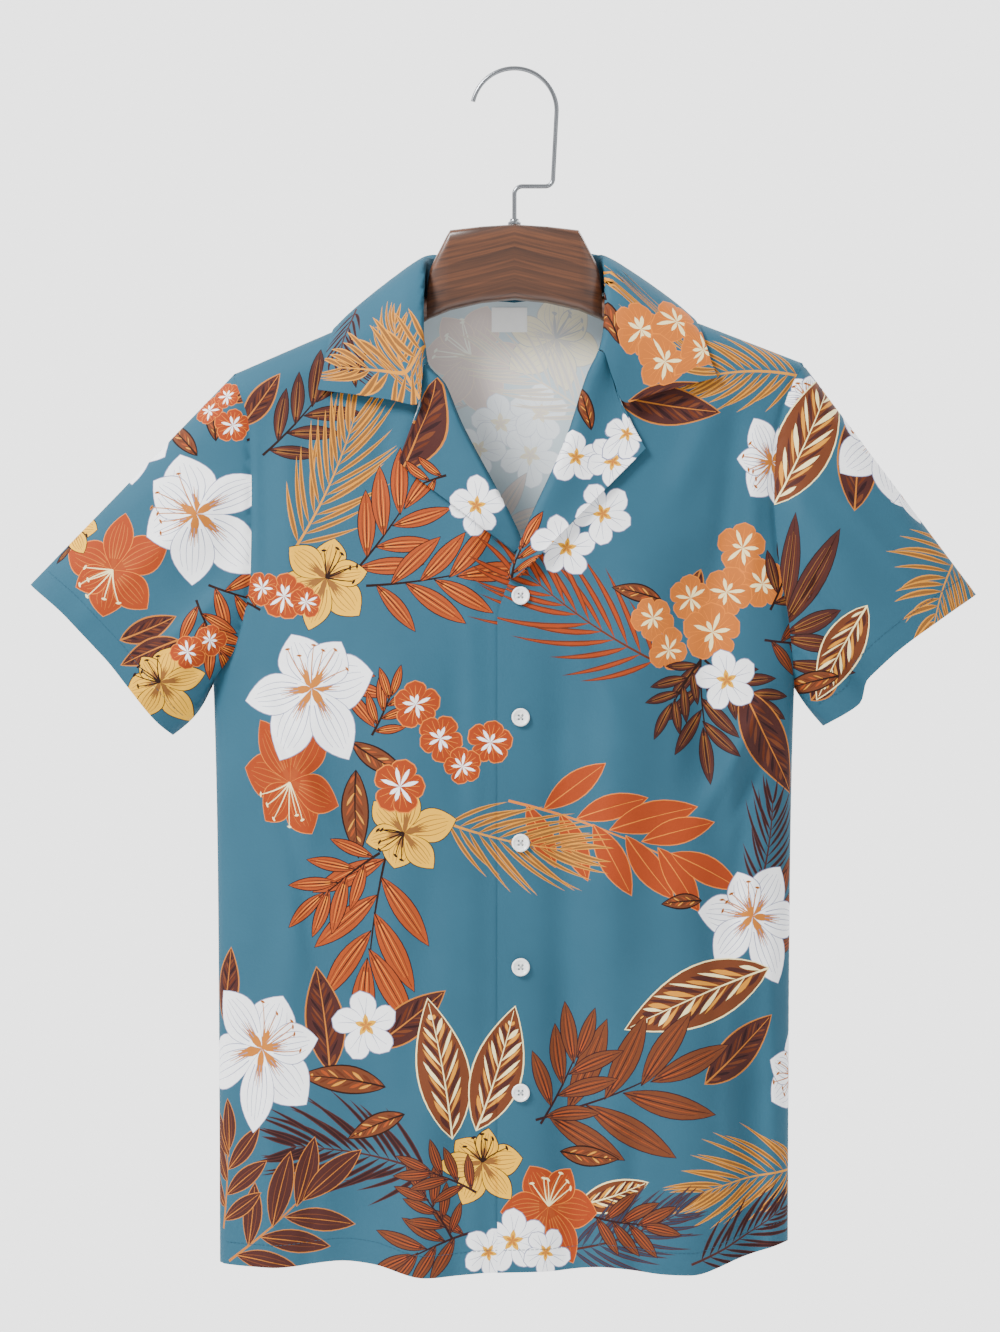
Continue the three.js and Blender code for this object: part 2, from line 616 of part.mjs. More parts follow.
/** Shares across the back at which its columns stand, with the neck points among them. */
function backColumns() {
  const tips = bothSides((side) => armholePlace(side, 1).angle);
  const neck = bothSides((side) => angleOf(side * NECK_POINT_X, NECK_Z[side]));
  const span = tips[LEFT] - tips[RIGHT];
  const neckFrom = (neck[RIGHT] - tips[RIGHT]) / span;
  const neckTo = (neck[LEFT] - tips[RIGHT]) / span;
  const rightShoulder = [0, 0.1, 0.26, 0.43, 0.62, 0.81].map((share) => share * neckFrom);
  const neckline = evenly(10).map((share) => neckShareAt(share, neck, tips));
  const leftShoulder = [0.17, 0.34, 0.51, 0.67, 0.82, 0.93, 1].map((share) => lerp(neckTo, 1, share));
  return { shares: [...rightShoulder, ...neckline, ...leftShoulder], neckline, neckFrom, neckTo };
}

/** Share across the back of a point of the neck seam, closer together near the shoulders. */
function neckShareAt(share, neck, tips) {
  const eased = (1 - Math.cos(Math.PI * share)) / 2;
  const x = NECK_POINT_X * (2 * lerp(share, eased, 0.75) - 1);
  const angle = angleOf(x, NECK_Z[RIGHT]);
  return (clamp(angle, neck[RIGHT], neck[LEFT]) - tips[RIGHT]) / (tips[LEFT] - tips[RIGHT]);
}

/** Top of the back: the shoulder seam, or the neck seam's dip between the neck points. */
function backTopZ(x) {
  if (Math.abs(x) >= NECK_POINT_X - 1e-6) return ridgeZ(x);
  return ridgeZ(x) - dropOfArc(backNeckArc(Math.abs(x)));
}

/** A place on the back: share runs from the right side to the left. */
function backPlace(share, height) {
  const upper = Math.max(height, 0);
  const right = armholePlace(RIGHT, upper).angle;
  const left = armholePlace(LEFT, upper).angle;
  const angle = lerp(right, left, share);
  const armpit = lerp(ARMPIT_Z[RIGHT], ARMPIT_Z[LEFT], share);
  if (height > 0) {
    const tips = bothSides((side) => armholePlace(side, 1).angle);
    const topX = BODY_CENTRE + bodyHalf(NECK_Z[RIGHT]) * Math.sin(lerp(tips[RIGHT], tips[LEFT], share));
    const z = lerp(armpit, backTopZ(topX), upper);
    return { x: BODY_CENTRE + bodyHalf(z) * Math.sin(angle), z };
  }
  const roughX = BODY_CENTRE + bodyHalf(armpit) * Math.sin(angle);
  const z = lerp(armpit, hemZ[BACK](roughX), -height);
  return { x: BODY_CENTRE + bodyHalf(z) * Math.sin(angle), z };
}

/** The back, in one piece from side seam to side seam. */
function backPanel() {
  const columns = backColumns().shares.map((share) => 1 - share).sort((a, b) => a - b);
  return clothWall(columns, panelRows(), (column, height) => {
    const share = 1 - column;
    const side = share < 0.5 ? RIGHT : LEFT;
    const atEdge = share < 1e-9 || share > 1 - 1e-9;
    if (atEdge && height >= 0) {
      const edge = armholeEdge(side, BACK, height, true);
      partFromMiddle(BACK, edge.outside, edge.inside);
      return edge;
    }
    const place = backPlace(share, height);
    const { point, normal } = onBody(BACK, place.x, place.z);
    if (atEdge) normal.set(side, 0, 0);
    return clothFrom(BACK, point, normal);
  });
}

/** Where a sleeve's columns stand: from the underarm seam over the top and back to it. */
function sleeveRing(side) {
  const shares = [0, ...UPPER_ROWS];
  const first = side === RIGHT ? BACK : FRONT;
  const rising = shares.map((share) => ({ face: first, share }));
  const falling = shares.slice(0, -1).reverse().map((share) => ({ face: -first, share }));
  return [...rising, ...falling];
}

/** A sleeve: a flattened tube from its cuff to the armhole, closed by the underarm seam. */
function sleeve(side) {
  const runs = [0, 0.16, 0.33, 0.5, 0.67, 0.84, 1];
  return clothWall(sleeveRing(side), runs, ({ face, share }, run) => {
    if (run === 1) {
      const edge = armholeEdge(side, face, share, false);
      if (share === 0) partFromMiddle(face, edge.outside, edge.inside);
      return edge;
    }
    const outside = sleeveAt(side, face, share, run);
    const normal = sleeveNormal(side, face, share, run);
    if (share === 1) normal.setY(0).normalize();
    const inside = outside.clone().addScaledVector(normal, -CLOTH);
    if (share === 0) {
      inside.y = outside.y;
      partFromMiddle(face, outside, inside);
    }
    return { outside, inside };
  });
}

/** A wall laid evenly about a middle surface, with its first row joined to a seam. */
function turnedWall(columns, rows, thickness, middle, seamRow) {
  return clothWall(columns, rows, (column, row) => {
    if (row === rows[0]) return seamRow(column);
    const step = 0.01;
    const across = middle(column + step, row).sub(middle(column - step, row));
    const along = middle(column, row + step).sub(middle(column, row - step));
    const normal = across.cross(along).normalize();
    const point = middle(column, row);
    return {
      outside: point.clone().addScaledVector(normal, thickness / 2),
      inside: point.clone().addScaledVector(normal, -thickness / 2),
    };
  });
}

/** The front's edge from armpit to neck point, as it runs between the panel's rows. */
const builtEdge = bothSides((side) =>
  [0, ...UPPER_ROWS].map((share) => {
    const z = frontEdgeZ(side, share);
    const { point, normal } = onFront(side, edgeX[side](z), z);
    return { key: z, share, ...clothFrom(FRONT, point, normal) };
  }),
);

/** Both faces of a built edge at some place along it, straight between the listed places. */
function alongEdge(places, position) {
  let i = 0;
  while (i < places.length - 2 && position > places[i + 1].key) i += 1;
  const share = clamp((position - places[i].key) / (places[i + 1].key - places[i].key), 0, 1);
  return {
    outside: places[i].outside.clone().lerp(places[i + 1].outside, share),
    inside: places[i].inside.clone().lerp(places[i + 1].inside, share),
  };
}

/** Point of a lapel's middle surface: round its roll for row 0 to 1, then out along its leaf. */
function lapelAt(side, z, row) {
  const roll = edgeRoll[side](z);
  const cutX = edgeX[side](z);
  const rollStart = -CLOTH / 2;
  if (row <= 1) {
    const turn = Math.PI * Math.max(row, 0);
    const out = roll * Math.sin(turn);
    const { outside } = alongEdge(builtEdge[side], z);
    const lift = rollStart + roll * (1 - Math.cos(turn));
    return new THREE.Vector3(
      outside.x + edgeOutX[side](z) * out,
      outside.y - lift,
      outside.z + edgeOutZ[side](z) * out,
    );
  }
  const share = row - 1;
  const leafX = lapelEdgeX[side](z);
  const leafZ = lapelEdgeZ[side](z);
  const length = Math.hypot(leafX - cutX, leafZ - z) * share;
  const settled = LAY_GAP + COLLAR_CLOTH / 2;
  const top = rollStart + 2 * roll;
  const lift = settled + (top - settled) * Math.exp(-((length / lapelLifted[side](z)) ** 2));
  const { point } = onFront(side, lerp(cutX, leafX, share), lerp(z, leafZ, share));
  point.y -= lift;
  return point;
}

const lapelEdgeX = bothSides((side) => cornered(LAPELS[side], 'z', 'edgeX'));
const lapelEdgeZ = bothSides((side) => cornered(LAPELS[side], 'z', 'edgeZ'));
const lapelLifted = bothSides((side) => follow(LAPELS[side], 'z', 'lifted'));

/** A turned-back lapel, from the front's edge round the roll to its point. */
function lapel(side) {
  const foot = LAPELS[side][0].z;
  const gorge = LAPELS[side][LAPELS[side].length - 1].z;
  const corners = LAPELS[side].map((row) => row.z);
  const panelHeights = builtEdge[side].map((place) => place.key).filter((z) => z > foot && z < gorge - 1);
  const between = panelHeights.filter((z) => corners.every((corner) => Math.abs(corner - z) > 0.8));
  const heights = [...corners.slice(0, -1), ...between, gorge - SEAM].sort((a, b) => a - b);
  if (side === LEFT) heights.reverse();
  const rows = [0, 0.22, 0.42, 0.6, 0.8, 1, 1.18, 1.36, 1.6, 1.82, 2];
  const direction = side === LEFT ? -1 : 1;
  const middle = (column, row) => lapelAt(side, column * direction, row);
  const seamRow = (column) => {
    const z = column * direction;
    const edge = alongEdge(builtEdge[side], z);
    const away = new THREE.Vector3(edgeOutX[side](z), 0, edgeOutZ[side](z)).multiplyScalar(SEAM + 0.1);
    return { inside: edge.outside.add(away), outside: edge.inside.add(away) };
  };
  return turnedWall(heights.map((z) => z * direction), rows, COLLAR_CLOTH, middle, seamRow);
}

const collarPath = bothSides((side) => ({
  rollX: follow(COLLAR[side], 'station', 'rollX'),
  rollY: follow(COLLAR[side], 'station', 'rollY'),
  rollZ: follow(COLLAR[side], 'station', 'rollZ'),
  edgeX: follow(COLLAR[side], 'station', 'edgeX'),
  edgeArc: follow(COLLAR[side], 'station', 'edgeArc'),
}));

/** Place on the neck seam by station: 0 at the gorge, 1 at the shoulder, 2 at the centre back. */
function neckSeam(side, station) {
  if (station <= 1) {
    const share = lerp(GORGE_SHARE[side], 1, station);
    const z = frontEdgeZ(side, share);
    const x = edgeX[side](z);
    return { x, arc: -arcOfDrop(ridgeZ(x) - z) };
  }
  const x = side * NECK_POINT_X * (2 - station);
  return { x, arc: backNeckArc(Math.abs(x)) };
}

/** Body point by its distance across and its arc over the ridge. */
function onArc(x, arc) {
  const angle = angleOf(x, ridgeZ(x) - dropOfArc(arc));
  return { point: bodyAt(angle, arc), normal: bodyNormal(angle, arc) };
}

/** Place under the collar's leaf, from the neck seam, 0, to the outer edge, 1. */
function underLeaf(side, station, share) {
  const neck = neckSeam(side, station);
  const path = collarPath[side];
  const place = {
    x: lerp(neck.x, path.edgeX(station), share),
    arc: lerp(neck.arc, path.edgeArc(station), share),
  };
  const turned = Math.max(1 - station / 0.6, 0) ** 1.5;
  if (turned > 0) {
    const notch = NOTCH[side];
    const notchArc = -arcOfDrop(ridgeZ(notch.x) - notch.z);
    const start = neckSeam(side, 0);
    const straightX = lerp(start.x, path.edgeX(0), share);
    const straightArc = lerp(start.arc, path.edgeArc(0), share);
    const before = share < NOTCH_SHARE;
    const part = before ? share / NOTCH_SHARE : (share - NOTCH_SHARE) / (1 - NOTCH_SHARE);
    const bentX = before ? lerp(start.x, notch.x, part) : lerp(notch.x, path.edgeX(0), part);
    const bentArc = before ? lerp(start.arc, notchArc, part) : lerp(notchArc, path.edgeArc(0), part);
    place.x += (bentX - straightX) * turned;
    place.arc += (bentArc - straightArc) * turned;
  }
  return place;
}

/** The curve that the collar's cloth follows from the neck seam over the roll to its edge. */
function collarSection(side, station) {
  const path = collarPath[side];
  const neck = alongEdge(builtNeck, side === RIGHT ? station : 4 - station);
  const seam = neck.outside.lerp(neck.inside, 0.5);
  const roll = new THREE.Vector3(path.rollX(station), path.rollY(station), path.rollZ(station));
  const rise = roll.clone().sub(seam);
  const front = Math.max(1 - station / 0.8, 0);
  const bulge = new THREE.Vector3(-side * 3.6 * front, 0, 1.6 * front ** 2);
  const standing = seam.clone().addScaledVector(rise, 0.5).add(bulge);
  const leaf = (share) => {
    const place = underLeaf(side, station, share);
    const under = onArc(place.x, place.arc);
    const lift = LAY_GAP + COLLAR_CLOTH / 2 + leafLift(station, share);
    return under.point
      .addScaledVector(rise, (1 - share) ** COLLAR_FALL)
      .addScaledVector(under.normal, lift);
  };
  const up = roll.clone().sub(standing);
  const ease = Math.min(up.length() * COLLAR_ROLL_EASE, 4.5);
  up.normalize();
  const down = leaf(0.16).sub(roll).normalize();
  const corner = roll.clone().add(up.clone().sub(down).multiplyScalar(ease / 4));
  return new THREE.CatmullRomCurve3([
    seam,
    standing,
    corner.clone().addScaledVector(up, -ease),
    roll,
    corner.clone().addScaledVector(down, ease),
    leaf(0.16),
    leaf(0.3),
    leaf(0.48),
    leaf(0.66),
    leaf(0.84),
    leaf(1),
  ]);
}

/** How far the collar's leaf lifts off the body, a little more at its point. */
function leafLift(station, share) {
  const point = Math.max(1 - station / 0.7, 0);
  return 1.4 * point * smoothstep(share, 0.5, 1) + 0.8 * Math.sin(Math.PI * share);
}

/** The neck seam as it is built, counted from the right gorge, 0, to the left gorge, 4. */
const builtNeck = [
  ...frontNeckPlaces(RIGHT),
  ...backNeckPlaces(),
  ...frontNeckPlaces(LEFT).reverse(),
];

/** The front's part of the neck seam on one side, from the gorge to the shoulder. */
function frontNeckPlaces(side) {
  const gorge = GORGE_SHARE[side];
  return builtEdge[side]
    .filter(({ share }) => share >= gorge - 1e-9)
    .map(({ share, outside, inside }) => {
      const station = (share - gorge) / (1 - gorge);
      return { key: side === RIGHT ? station : 4 - station, outside, inside };
    });
}

/** The back's part of the neck seam, from the right shoulder to the left. */
function backNeckPlaces() {
  return backColumns().neckline.map((share) => {
    const place = backPlace(share, 1);
    const { point, normal } = onBody(BACK, place.x, place.z);
    const station = 2 + clamp(place.x / NECK_POINT_X, -1, 1) * 0.998;
    return { key: station, ...clothFrom(BACK, point, normal) };
  });
}

/** The collar, in one piece from the right gorge round the back to the left gorge. */
function collar() {
  const fronts = bothSides((side) => frontNeckPlaces(side).map(({ key }) => key));
  const overShoulder = [1.022, 1.044, 1.066, 1.09, 1.12, 1.16, 1.2, 1.25, 1.34, 1.46, 1.6, 1.8];
  const columns = [
    ...fronts[RIGHT],
    ...overShoulder,
    2,
    ...overShoulder.map((station) => 4 - station).reverse(),
    ...fronts[LEFT].reverse(),
  ];
  const rows = [0, 0.5, 1, 1.6, 2, 2.5, 3, 3.5, 4, 5, 6, 7, 8, 9, 10];
  const sections = new Map();
  const sectionAt = (column) => {
    if (!sections.has(column)) {
      const inner = clamp(column, 0, 4);
      const side = inner <= 2 ? RIGHT : LEFT;
      sections.set(column, collarSection(side, inner <= 2 ? inner : 4 - inner));
    }
    return sections.get(column);
  };
  const middle = (column, row) => sectionAt(column).getPoint(clamp(row / 10, 0, 1));
  const seamRow = (column) => {
    const edge = alongEdge(builtNeck, column);
    const before = alongEdge(builtNeck, column - 0.02).outside;
    const tangent = alongEdge(builtNeck, column + 0.02).outside.sub(before);
    const through = edge.outside.clone().sub(edge.inside);
    const away = tangent.cross(through).normalize().multiplyScalar(SEAM + 0.05);
    if (column === 0 || column === 4) away.z += SEAM;
    return { inside: edge.outside.add(away), outside: edge.inside.add(away) };
  };
  return turnedWall(columns, rows, COLLAR_CLOTH, middle, seamRow);
}

/** The bare label, laid on the inside of the back just under the neck seam. */
function neckLabel() {
  const columns = evenly(4).map((share) => lerp(LABEL.fromX, LABEL.toX, share));
  const rows = evenly(2).map((share) => lerp(LABEL.foot, LABEL.top, share));
  return clothWall(columns, rows, (x, z) => {
    const { point, normal } = onBody(BACK, x, z);
    return {
      outside: point.clone().addScaledVector(normal, -CLOTH - LABEL_GAP - LABEL.thick),
      inside: point.clone().addScaledVector(normal, -CLOTH - LABEL_GAP),
    };
  });
}

/** One button's turned outline: flat under, with a rim round its face. */
function buttonGeometry() {
  const rim = BUTTON_RADIUS;
  const profile = [
    new THREE.Vector2(0, 0),
    new THREE.Vector2(rim - 1.3, 0),
    new THREE.Vector2(rim, 0.9),
    new THREE.Vector2(rim, 1.7),
    new THREE.Vector2(rim - 0.8, BUTTON_THICK),
    new THREE.Vector2(rim - 1.9, BUTTON_THICK - 0.5),
    new THREE.Vector2(0, BUTTON_THICK - 0.5),
  ];
  return new THREE.LatheGeometry(profile, BUTTON_SIDES);
}

/** Rows of the hanger's wood from its right end to its left. */
function hangerRows() {
  const half = [...HEAD, ...ARM];
  const mirrored = half.slice(1).reverse().map((row) => ({ ...row, x: -row.x }));
  return [...mirrored, ...half].map((row) => {
    if (row.top !== undefined) return row;
    const out = Math.abs(row.x);
    const clearance = out < ARM_ROOT_X ? ARM_ROOT_CLEARANCE : ARM_CLEARANCE;
    const lower = out >= ARM_END_ROUND.x ? ARM_END_ROUND.lower : 0;
    return { ...row, top: ridgeZ(row.x) - CLOTH * Math.hypot(1, RIDGE_SLOPE) - clearance - lower };
  });
}

/** The wood: rounded sections joined from one arm's end over the head to the other's. */
function hangerWood() {
  const rows = hangerRows();
  const geometry = new THREE.CylinderGeometry(1, 1, 1, HANGER_SIDES, rows.length - 1);
  const position = geometry.attributes.position;
  const squared = (value, power) => {
    return Math.abs(value) < 1e-9 ? 0 : Math.sign(value) * Math.abs(value) ** (2 / power);
  };
  for (let i = 0; i < position.count; i += 1) {
    const row = rows[Math.round((position.getY(i) + 0.5) * (rows.length - 1))];
    const up = squared(position.getX(i), row.square);
    const forward = squared(position.getZ(i), row.square);
    const middle = (row.top + row.foot) / 2;
    position.setXYZ(i, row.x, row.half * forward, middle + (up * (row.top - row.foot)) / 2);
  }
  geometry.computeVertexNormals();
  return geometry;
}

/** The wire's middle line, from the tip over the hook and through the crank to its foot. */
function hookLine() {
  const top = WIRE_RADIUS - HOOK_RADIUS;
  const path = new THREE.Path();
  path.absarc(0, top, HOOK_RADIUS, HOOK_TIP_ANGLE, 0, true);
  path.lineTo(SHANK_X, CRANK_Z + CRANK_BEND);
  path.absarc(SHANK_X - CRANK_BEND, CRANK_Z + CRANK_BEND, CRANK_BEND, 0, -Math.PI / 2, true);
  path.lineTo(CRANK_BEND, CRANK_Z);
  path.absarc(CRANK_BEND, CRANK_Z - CRANK_BEND, CRANK_BEND, Math.PI / 2, Math.PI, false);
  path.lineTo(0, SHANK_FOOT);
  const points = path.getSpacedPoints(HOOK_STEPS * 2).map((point) => new THREE.Vector3(point.x, 0, point.y));
  return new THREE.CatmullRomCurve3(points);
}

/** The hook, a round wire swept along its middle line. */
function hangerHook() {
  const section = new THREE.Shape().absarc(0, 0, WIRE_RADIUS, 0, 2 * Math.PI, false);
  return new THREE.ExtrudeGeometry(section, {
    steps: HOOK_STEPS,
    curveSegments: WIRE_SIDES,
    bevelEnabled: false,
    extrudePath: hookLine(),
  });
}

/** The small turned collar that the wire comes through, on top of the wood. */
function hangerCollar() {
  const ring = COLLAR_RING;
  const profile = [
    new THREE.Vector2(ring.bore, 0),
    new THREE.Vector2(ring.radius, 0),
    new THREE.Vector2(ring.radius, ring.flange),
    new THREE.Vector2(ring.neck, ring.flange + 0.8),
    new THREE.Vector2(ring.neck, ring.height),
    new THREE.Vector2(ring.bore, ring.height),
    new THREE.Vector2(ring.bore, 0),
  ];
  return new THREE.LatheGeometry(profile, ring.sides).rotateX(Math.PI / 2);
}

const printedCloth = () => new THREE.MeshStandardMaterial({ color: 0x4f8ca3, roughness: 0.75 });
const pearl = () => new THREE.MeshStandardMaterial({ color: 0xf1f2f0, roughness: 0.3 });
const labelCloth = () => new THREE.MeshStandardMaterial({ color: 0xf7f7f5, roughness: 0.8 });
const walnut = () => new THREE.MeshStandardMaterial({ color: 0x6b3a24, roughness: 0.45 });
const chrome = () => new THREE.MeshStandardMaterial({ color: 0xc9ccd0, roughness: 0.2, metalness: 1 });

const shirt = new THREE.Group();

/** Adds one named piece to the shirt. */
function add(name, geometry, material) {
  const mesh = new THREE.Mesh(geometry, material);
  mesh.name = name;
  shirt.add(mesh);
  return mesh;
}

add('front_right', frontPanel(RIGHT), printedCloth());
add('front_left', frontPanel(LEFT), printedCloth());
add('back', backPanel(), printedCloth());
add('sleeve_right', sleeve(RIGHT), printedCloth());
add('sleeve_left', sleeve(LEFT), printedCloth());
add('lapel_right', lapel(RIGHT), printedCloth());
add('lapel_left', lapel(LEFT), printedCloth());
add('collar', collar(), printedCloth());
add('neck_label', neckLabel(), labelCloth());

BUTTON_Z.forEach((z, i) => {
  const { point, normal } = onFront(LEFT, BUTTON_X, z);
  const button = add(`button_${i + 1}`, buttonGeometry(), pearl());
  button.quaternion.setFromUnitVectors(new THREE.Vector3(0, 1, 0), normal);
  button.position.copy(point.addScaledVector(normal, SEAM + 0.1));
});

add('hanger_wood', hangerWood(), walnut());
add('hanger_hook', hangerHook(), chrome());
const ring = add('hanger_collar', hangerCollar(), chrome());
ring.position.z = HEAD[0].top + SEAM;

export default shirt;
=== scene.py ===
import logging
import math
from dataclasses import dataclass, field
from enum import Enum
from typing import Callable

import bmesh
import bpy
import numpy as np
from mathutils import Matrix, Vector
from mathutils.bvhtree import BVHTree
from mathutils.geometry import delaunay_2d_cdt
from mathutils.kdtree import KDTree


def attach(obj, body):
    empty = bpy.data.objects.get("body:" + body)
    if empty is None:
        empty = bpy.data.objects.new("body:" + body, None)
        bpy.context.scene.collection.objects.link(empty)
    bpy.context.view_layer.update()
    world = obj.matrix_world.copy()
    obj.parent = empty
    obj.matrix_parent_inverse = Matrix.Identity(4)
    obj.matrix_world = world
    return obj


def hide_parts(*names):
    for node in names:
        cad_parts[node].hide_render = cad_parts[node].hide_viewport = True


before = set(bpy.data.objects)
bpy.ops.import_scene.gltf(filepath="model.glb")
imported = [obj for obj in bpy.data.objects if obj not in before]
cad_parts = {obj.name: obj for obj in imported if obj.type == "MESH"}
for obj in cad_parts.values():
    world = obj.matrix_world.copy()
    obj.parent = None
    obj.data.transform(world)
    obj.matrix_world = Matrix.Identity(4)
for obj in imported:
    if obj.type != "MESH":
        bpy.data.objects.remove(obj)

LOG = logging.getLogger("shirt")
MM = 0.001
BODY = "root"
CUT_PLANE = "cut_plane"
# A metre in millimetres
METRE = 1000.0
# How far, in mm, a printed border may stray when its places are thinned, and its longest straight step
RUN_SLACK = 0.06
RUN_STEP = 4.0
# Places of a drawing nearer to each other than this, in mm, become one
CDT_SNAP = 0.02

# Camera: straight on, at the height of the shirt's middle, from far enough for a flat view
CAMERA_X = -11.0
CAMERA_Z = -455.2
VIEW_HIGH = 1012.3
CAMERA_AWAY = 4200.0
SENSOR = 36.0

# Cloth and the form it takes over the hanger, in millimetres
CLOTH_THIN = 0.9
COLLAR_CLOTH = 1.7
# The cloth rounds over the shoulders on a quarter turn of radius RIDGE_DROP about the body's middle
# line, reaches its full depth at FULL_DROP below them and thins towards the flanks by the power FLANK
CENTRE = -8.0
RIDGE_DROP = 26.0
QUARTER_ARC = RIDGE_DROP * math.pi / 2
ARC_SHIFT = QUARTER_ARC - RIDGE_DROP
FULL_DROP = 280.0
FLANK = 0.75
# Half width and depth of the body at which the way round it is worked out
WIDTH_UNIT = 220.0
GIRTH_DEPTH = 44.0
# Half width of the neck opening and of the hem, and how steeply the shoulders fall
NECK_X = 72.0
HEM_HALF = 217.3
SHOULDER_FALL = 0.419
# How much deeper than its rise a fold stands, and the depth and width of the dip at an armhole seam
CREASE_DEPTH = 1.7
SEAM_DIP = 1.6
SEAM_WIDE = 3.6
# Small folds that reach below this height run out through the hem instead of fading above it
OPEN_FOOT = -900.0
# A collar or lapel starts this far under the body's outside, and its leaf lies this far above it
TUCK = 0.7
LEAF_GAP = 0.9
# The rows of stitches lie this far in from a hem or a cuff
HEM_TURN = 17.0


class Side(Enum):
    """The wearer's side; its value is the sign of X."""

    RIGHT = -1
    LEFT = 1


class Face(Enum):
    """Front or back of the shirt; its value is the sign of Y."""

    FRONT = -1
    BACK = 1


# How far the front and the back stand off the hanger's middle plane, and the armpits' heights
DEPTH = {Face.FRONT: 45.0, Face.BACK: 40.0}
ARMPIT_Z = {Side.RIGHT: -466.0, Side.LEFT: -472.0}


class Curve:
    """A smooth function through (place, value) pairs, with no overshoot between them."""

    def __init__(self, *pairs: tuple[float, float]) -> None:
        """Works out the curve's slopes, level at every peak and dip.

        Args:
            pairs: places in rising order, each with its value.
        """
        self.at, self.value = np.array(pairs, float).T
        rise = np.diff(self.value) / np.diff(self.at)
        product = rise[:-1] * rise[1:]
        total = rise[:-1] + rise[1:]
        inner = np.where(product > 0, 2 * product / np.where(total == 0, 1, total), 0)
        self.slope = np.concatenate([rise[:1], inner, rise[-1:]])

    def __call__(self, place: np.ndarray) -> np.ndarray:
        """Reads the curve.

        Args:
            place: where to read it; beyond its ends it stays level.

        Returns:
            Its values there.
        """
        place = np.clip(place, self.at[0], self.at[-1])
        i = np.clip(np.searchsorted(self.at, place, side="right") - 1, 0, len(self.at) - 2)
        span = self.at[i + 1] - self.at[i]
        t = (place - self.at[i]) / span
        ends = (1 + 2 * t) * (1 - t) ** 2 * self.value[i] + t * t * (3 - 2 * t) * self.value[i + 1]
        return ends + span * t * (1 - t) * (self.slope[i] * (1 - t) - self.slope[i + 1] * t)


# Half width of the body by height; each armhole seam's x by share of its height; the hem's height by x
BODY_HALF = Curve((-930, 217), (-790, 217.5), (-633, 218.5), (-470, 222), (-440, 226), (-400, 232),
                  (-324, 245), (-225, 262))
ARMHOLE = {
    Side.RIGHT: Curve((0, -230), (0.104, -212.8), (0.363, -200.6), (0.607, -200), (0.82, -202),
                      (1, -214.5)),
    Side.LEFT: Curve((0, 214), (0.206, 209), (0.368, 202), (0.607, 197.6), (0.778, 200.6),
                     (0.9, 208.2), (1, 220.4)),
}
HEM = {
    Face.FRONT: Curve((-226, -910.5), (-182, -912), (-130, -906.5), (-108, -908.5), (-68, -918),
                      (-20, -914.5), (27, -913.5), (66, -910.3), (117, -916), (134, -916.5),
                      (166, -906.7), (210, -893)),
    Face.BACK: Curve((-226, -910.5), (-150, -903), (-60, -909), (40, -903), (130, -907),
                     (210, -893)),
}
# Front edges by height: x, radius of the roll, and the way the roll bulges across and up
EDGE_ROWS = {
    Side.RIGHT: [(-940, 22, 0, 1, 0), (-396, 22, 0, 1, 0), (-363.2, 6.4, 1.7, 0.88, 0.47),
                 (-321.5, -17.2, 3, 0.88, 0.47), (-271.6, -44.1, 3.5, 0.88, 0.47),
                 (-242.9, -56.2, 3.5, 0.85, 0.53), (-227.5, -69.2, 3.5, 0.9, 0.43),
                 (-210, -71.3, 3, 1, 0.1), (-194, -72.2, 1.5, 1, 0), (-165, -72, 0, 1, 0)],
    Side.LEFT: [(-940, -13, 0, -1, 0), (-420, -13, 0, -1, 0), (-401, -8.2, 1.5, -0.95, 0.3),
                (-389, -2.7, 2.8, -0.93, 0.36), (-376.4, 3.8, 4.2, -0.93, 0.37),
                (-349.8, 14, 4.2, -0.91, 0.41), (-282, 43.9, 4, -0.91, 0.41),
                (-233.7, 59.5, 3.5, -0.95, 0.32), (-217, 67.5, 3.5, -0.95, 0.3),
                (-203, 70.4, 3, -1, 0.1), (-190, 71.6, 1.5, -1, 0), (-160, 72, 0, -1, 0)],
}
EDGE = {side: [Curve(*((row[0], row[i]) for row in rows)) for i in (1, 2, 3, 4)]
        for side, rows in EDGE_ROWS.items()}
# Lapels by the height of their roll: outer edge x and z, and how far the leaf stays lifted
LAPEL_ROWS = {
    Side.RIGHT: [(-363.2, 0, -368.6, 8), (-321.5, -40, -338.4, 13), (-271.6, -79, -309, 14),
                 (-250, -88, -300, 14), (-227.5, -71.2, -257.5, 12)],
    Side.LEFT: [(-389, 4.2, -386.6, 30), (-376.4, 16.5, -374, 28), (-349.8, 38, -352.2, 24),
                (-282, 76.8, -313, 16), (-262, 99.6, -290.3, 14), (-217, 80.6, -256.5, 12)],
}
# Collar by station (0 gorge, 1 shoulder, 2 centre back): roll x, y, z, then edge x and its arc
COLLAR_ROWS = {
    Side.RIGHT: [(0, -69.2, -36.5, -227, -149, -56.5), (0.32, -70.4, -35, -205, -145.5, -44),
                 (0.6, -70, -29, -179, -142, -30), (0.84, -69.3, -17, -156, -138.5, -15),
                 (1, -68.4, -3, -145.5, -135, 0), (1.08, -65, 13, -141, -124, 22),
                 (1.28, -50, 27, -138.5, -97, 48), (1.62, -25, 33.5, -137.5, -50, 67),
                 (2, 0, 35.5, -137, 0, 73)],
    Side.LEFT: [(0, 67.5, -36.5, -216.5, 153.5, -53.1), (0.32, 69.6, -34, -197, 148, -40),
                (0.6, 69.8, -28, -174, 143, -27), (0.84, 69.3, -16, -154, 138.5, -13),
                (1, 68.4, -3, -144.5, 134.5, 0), (1.08, 65, 13, -140.5, 124, 22),
                (1.28, 50, 27, -138, 97, 48), (1.62, 25, 33.5, -137.3, 50, 67),
                (2, 0, 35.5, -137, 0, 73)],
}
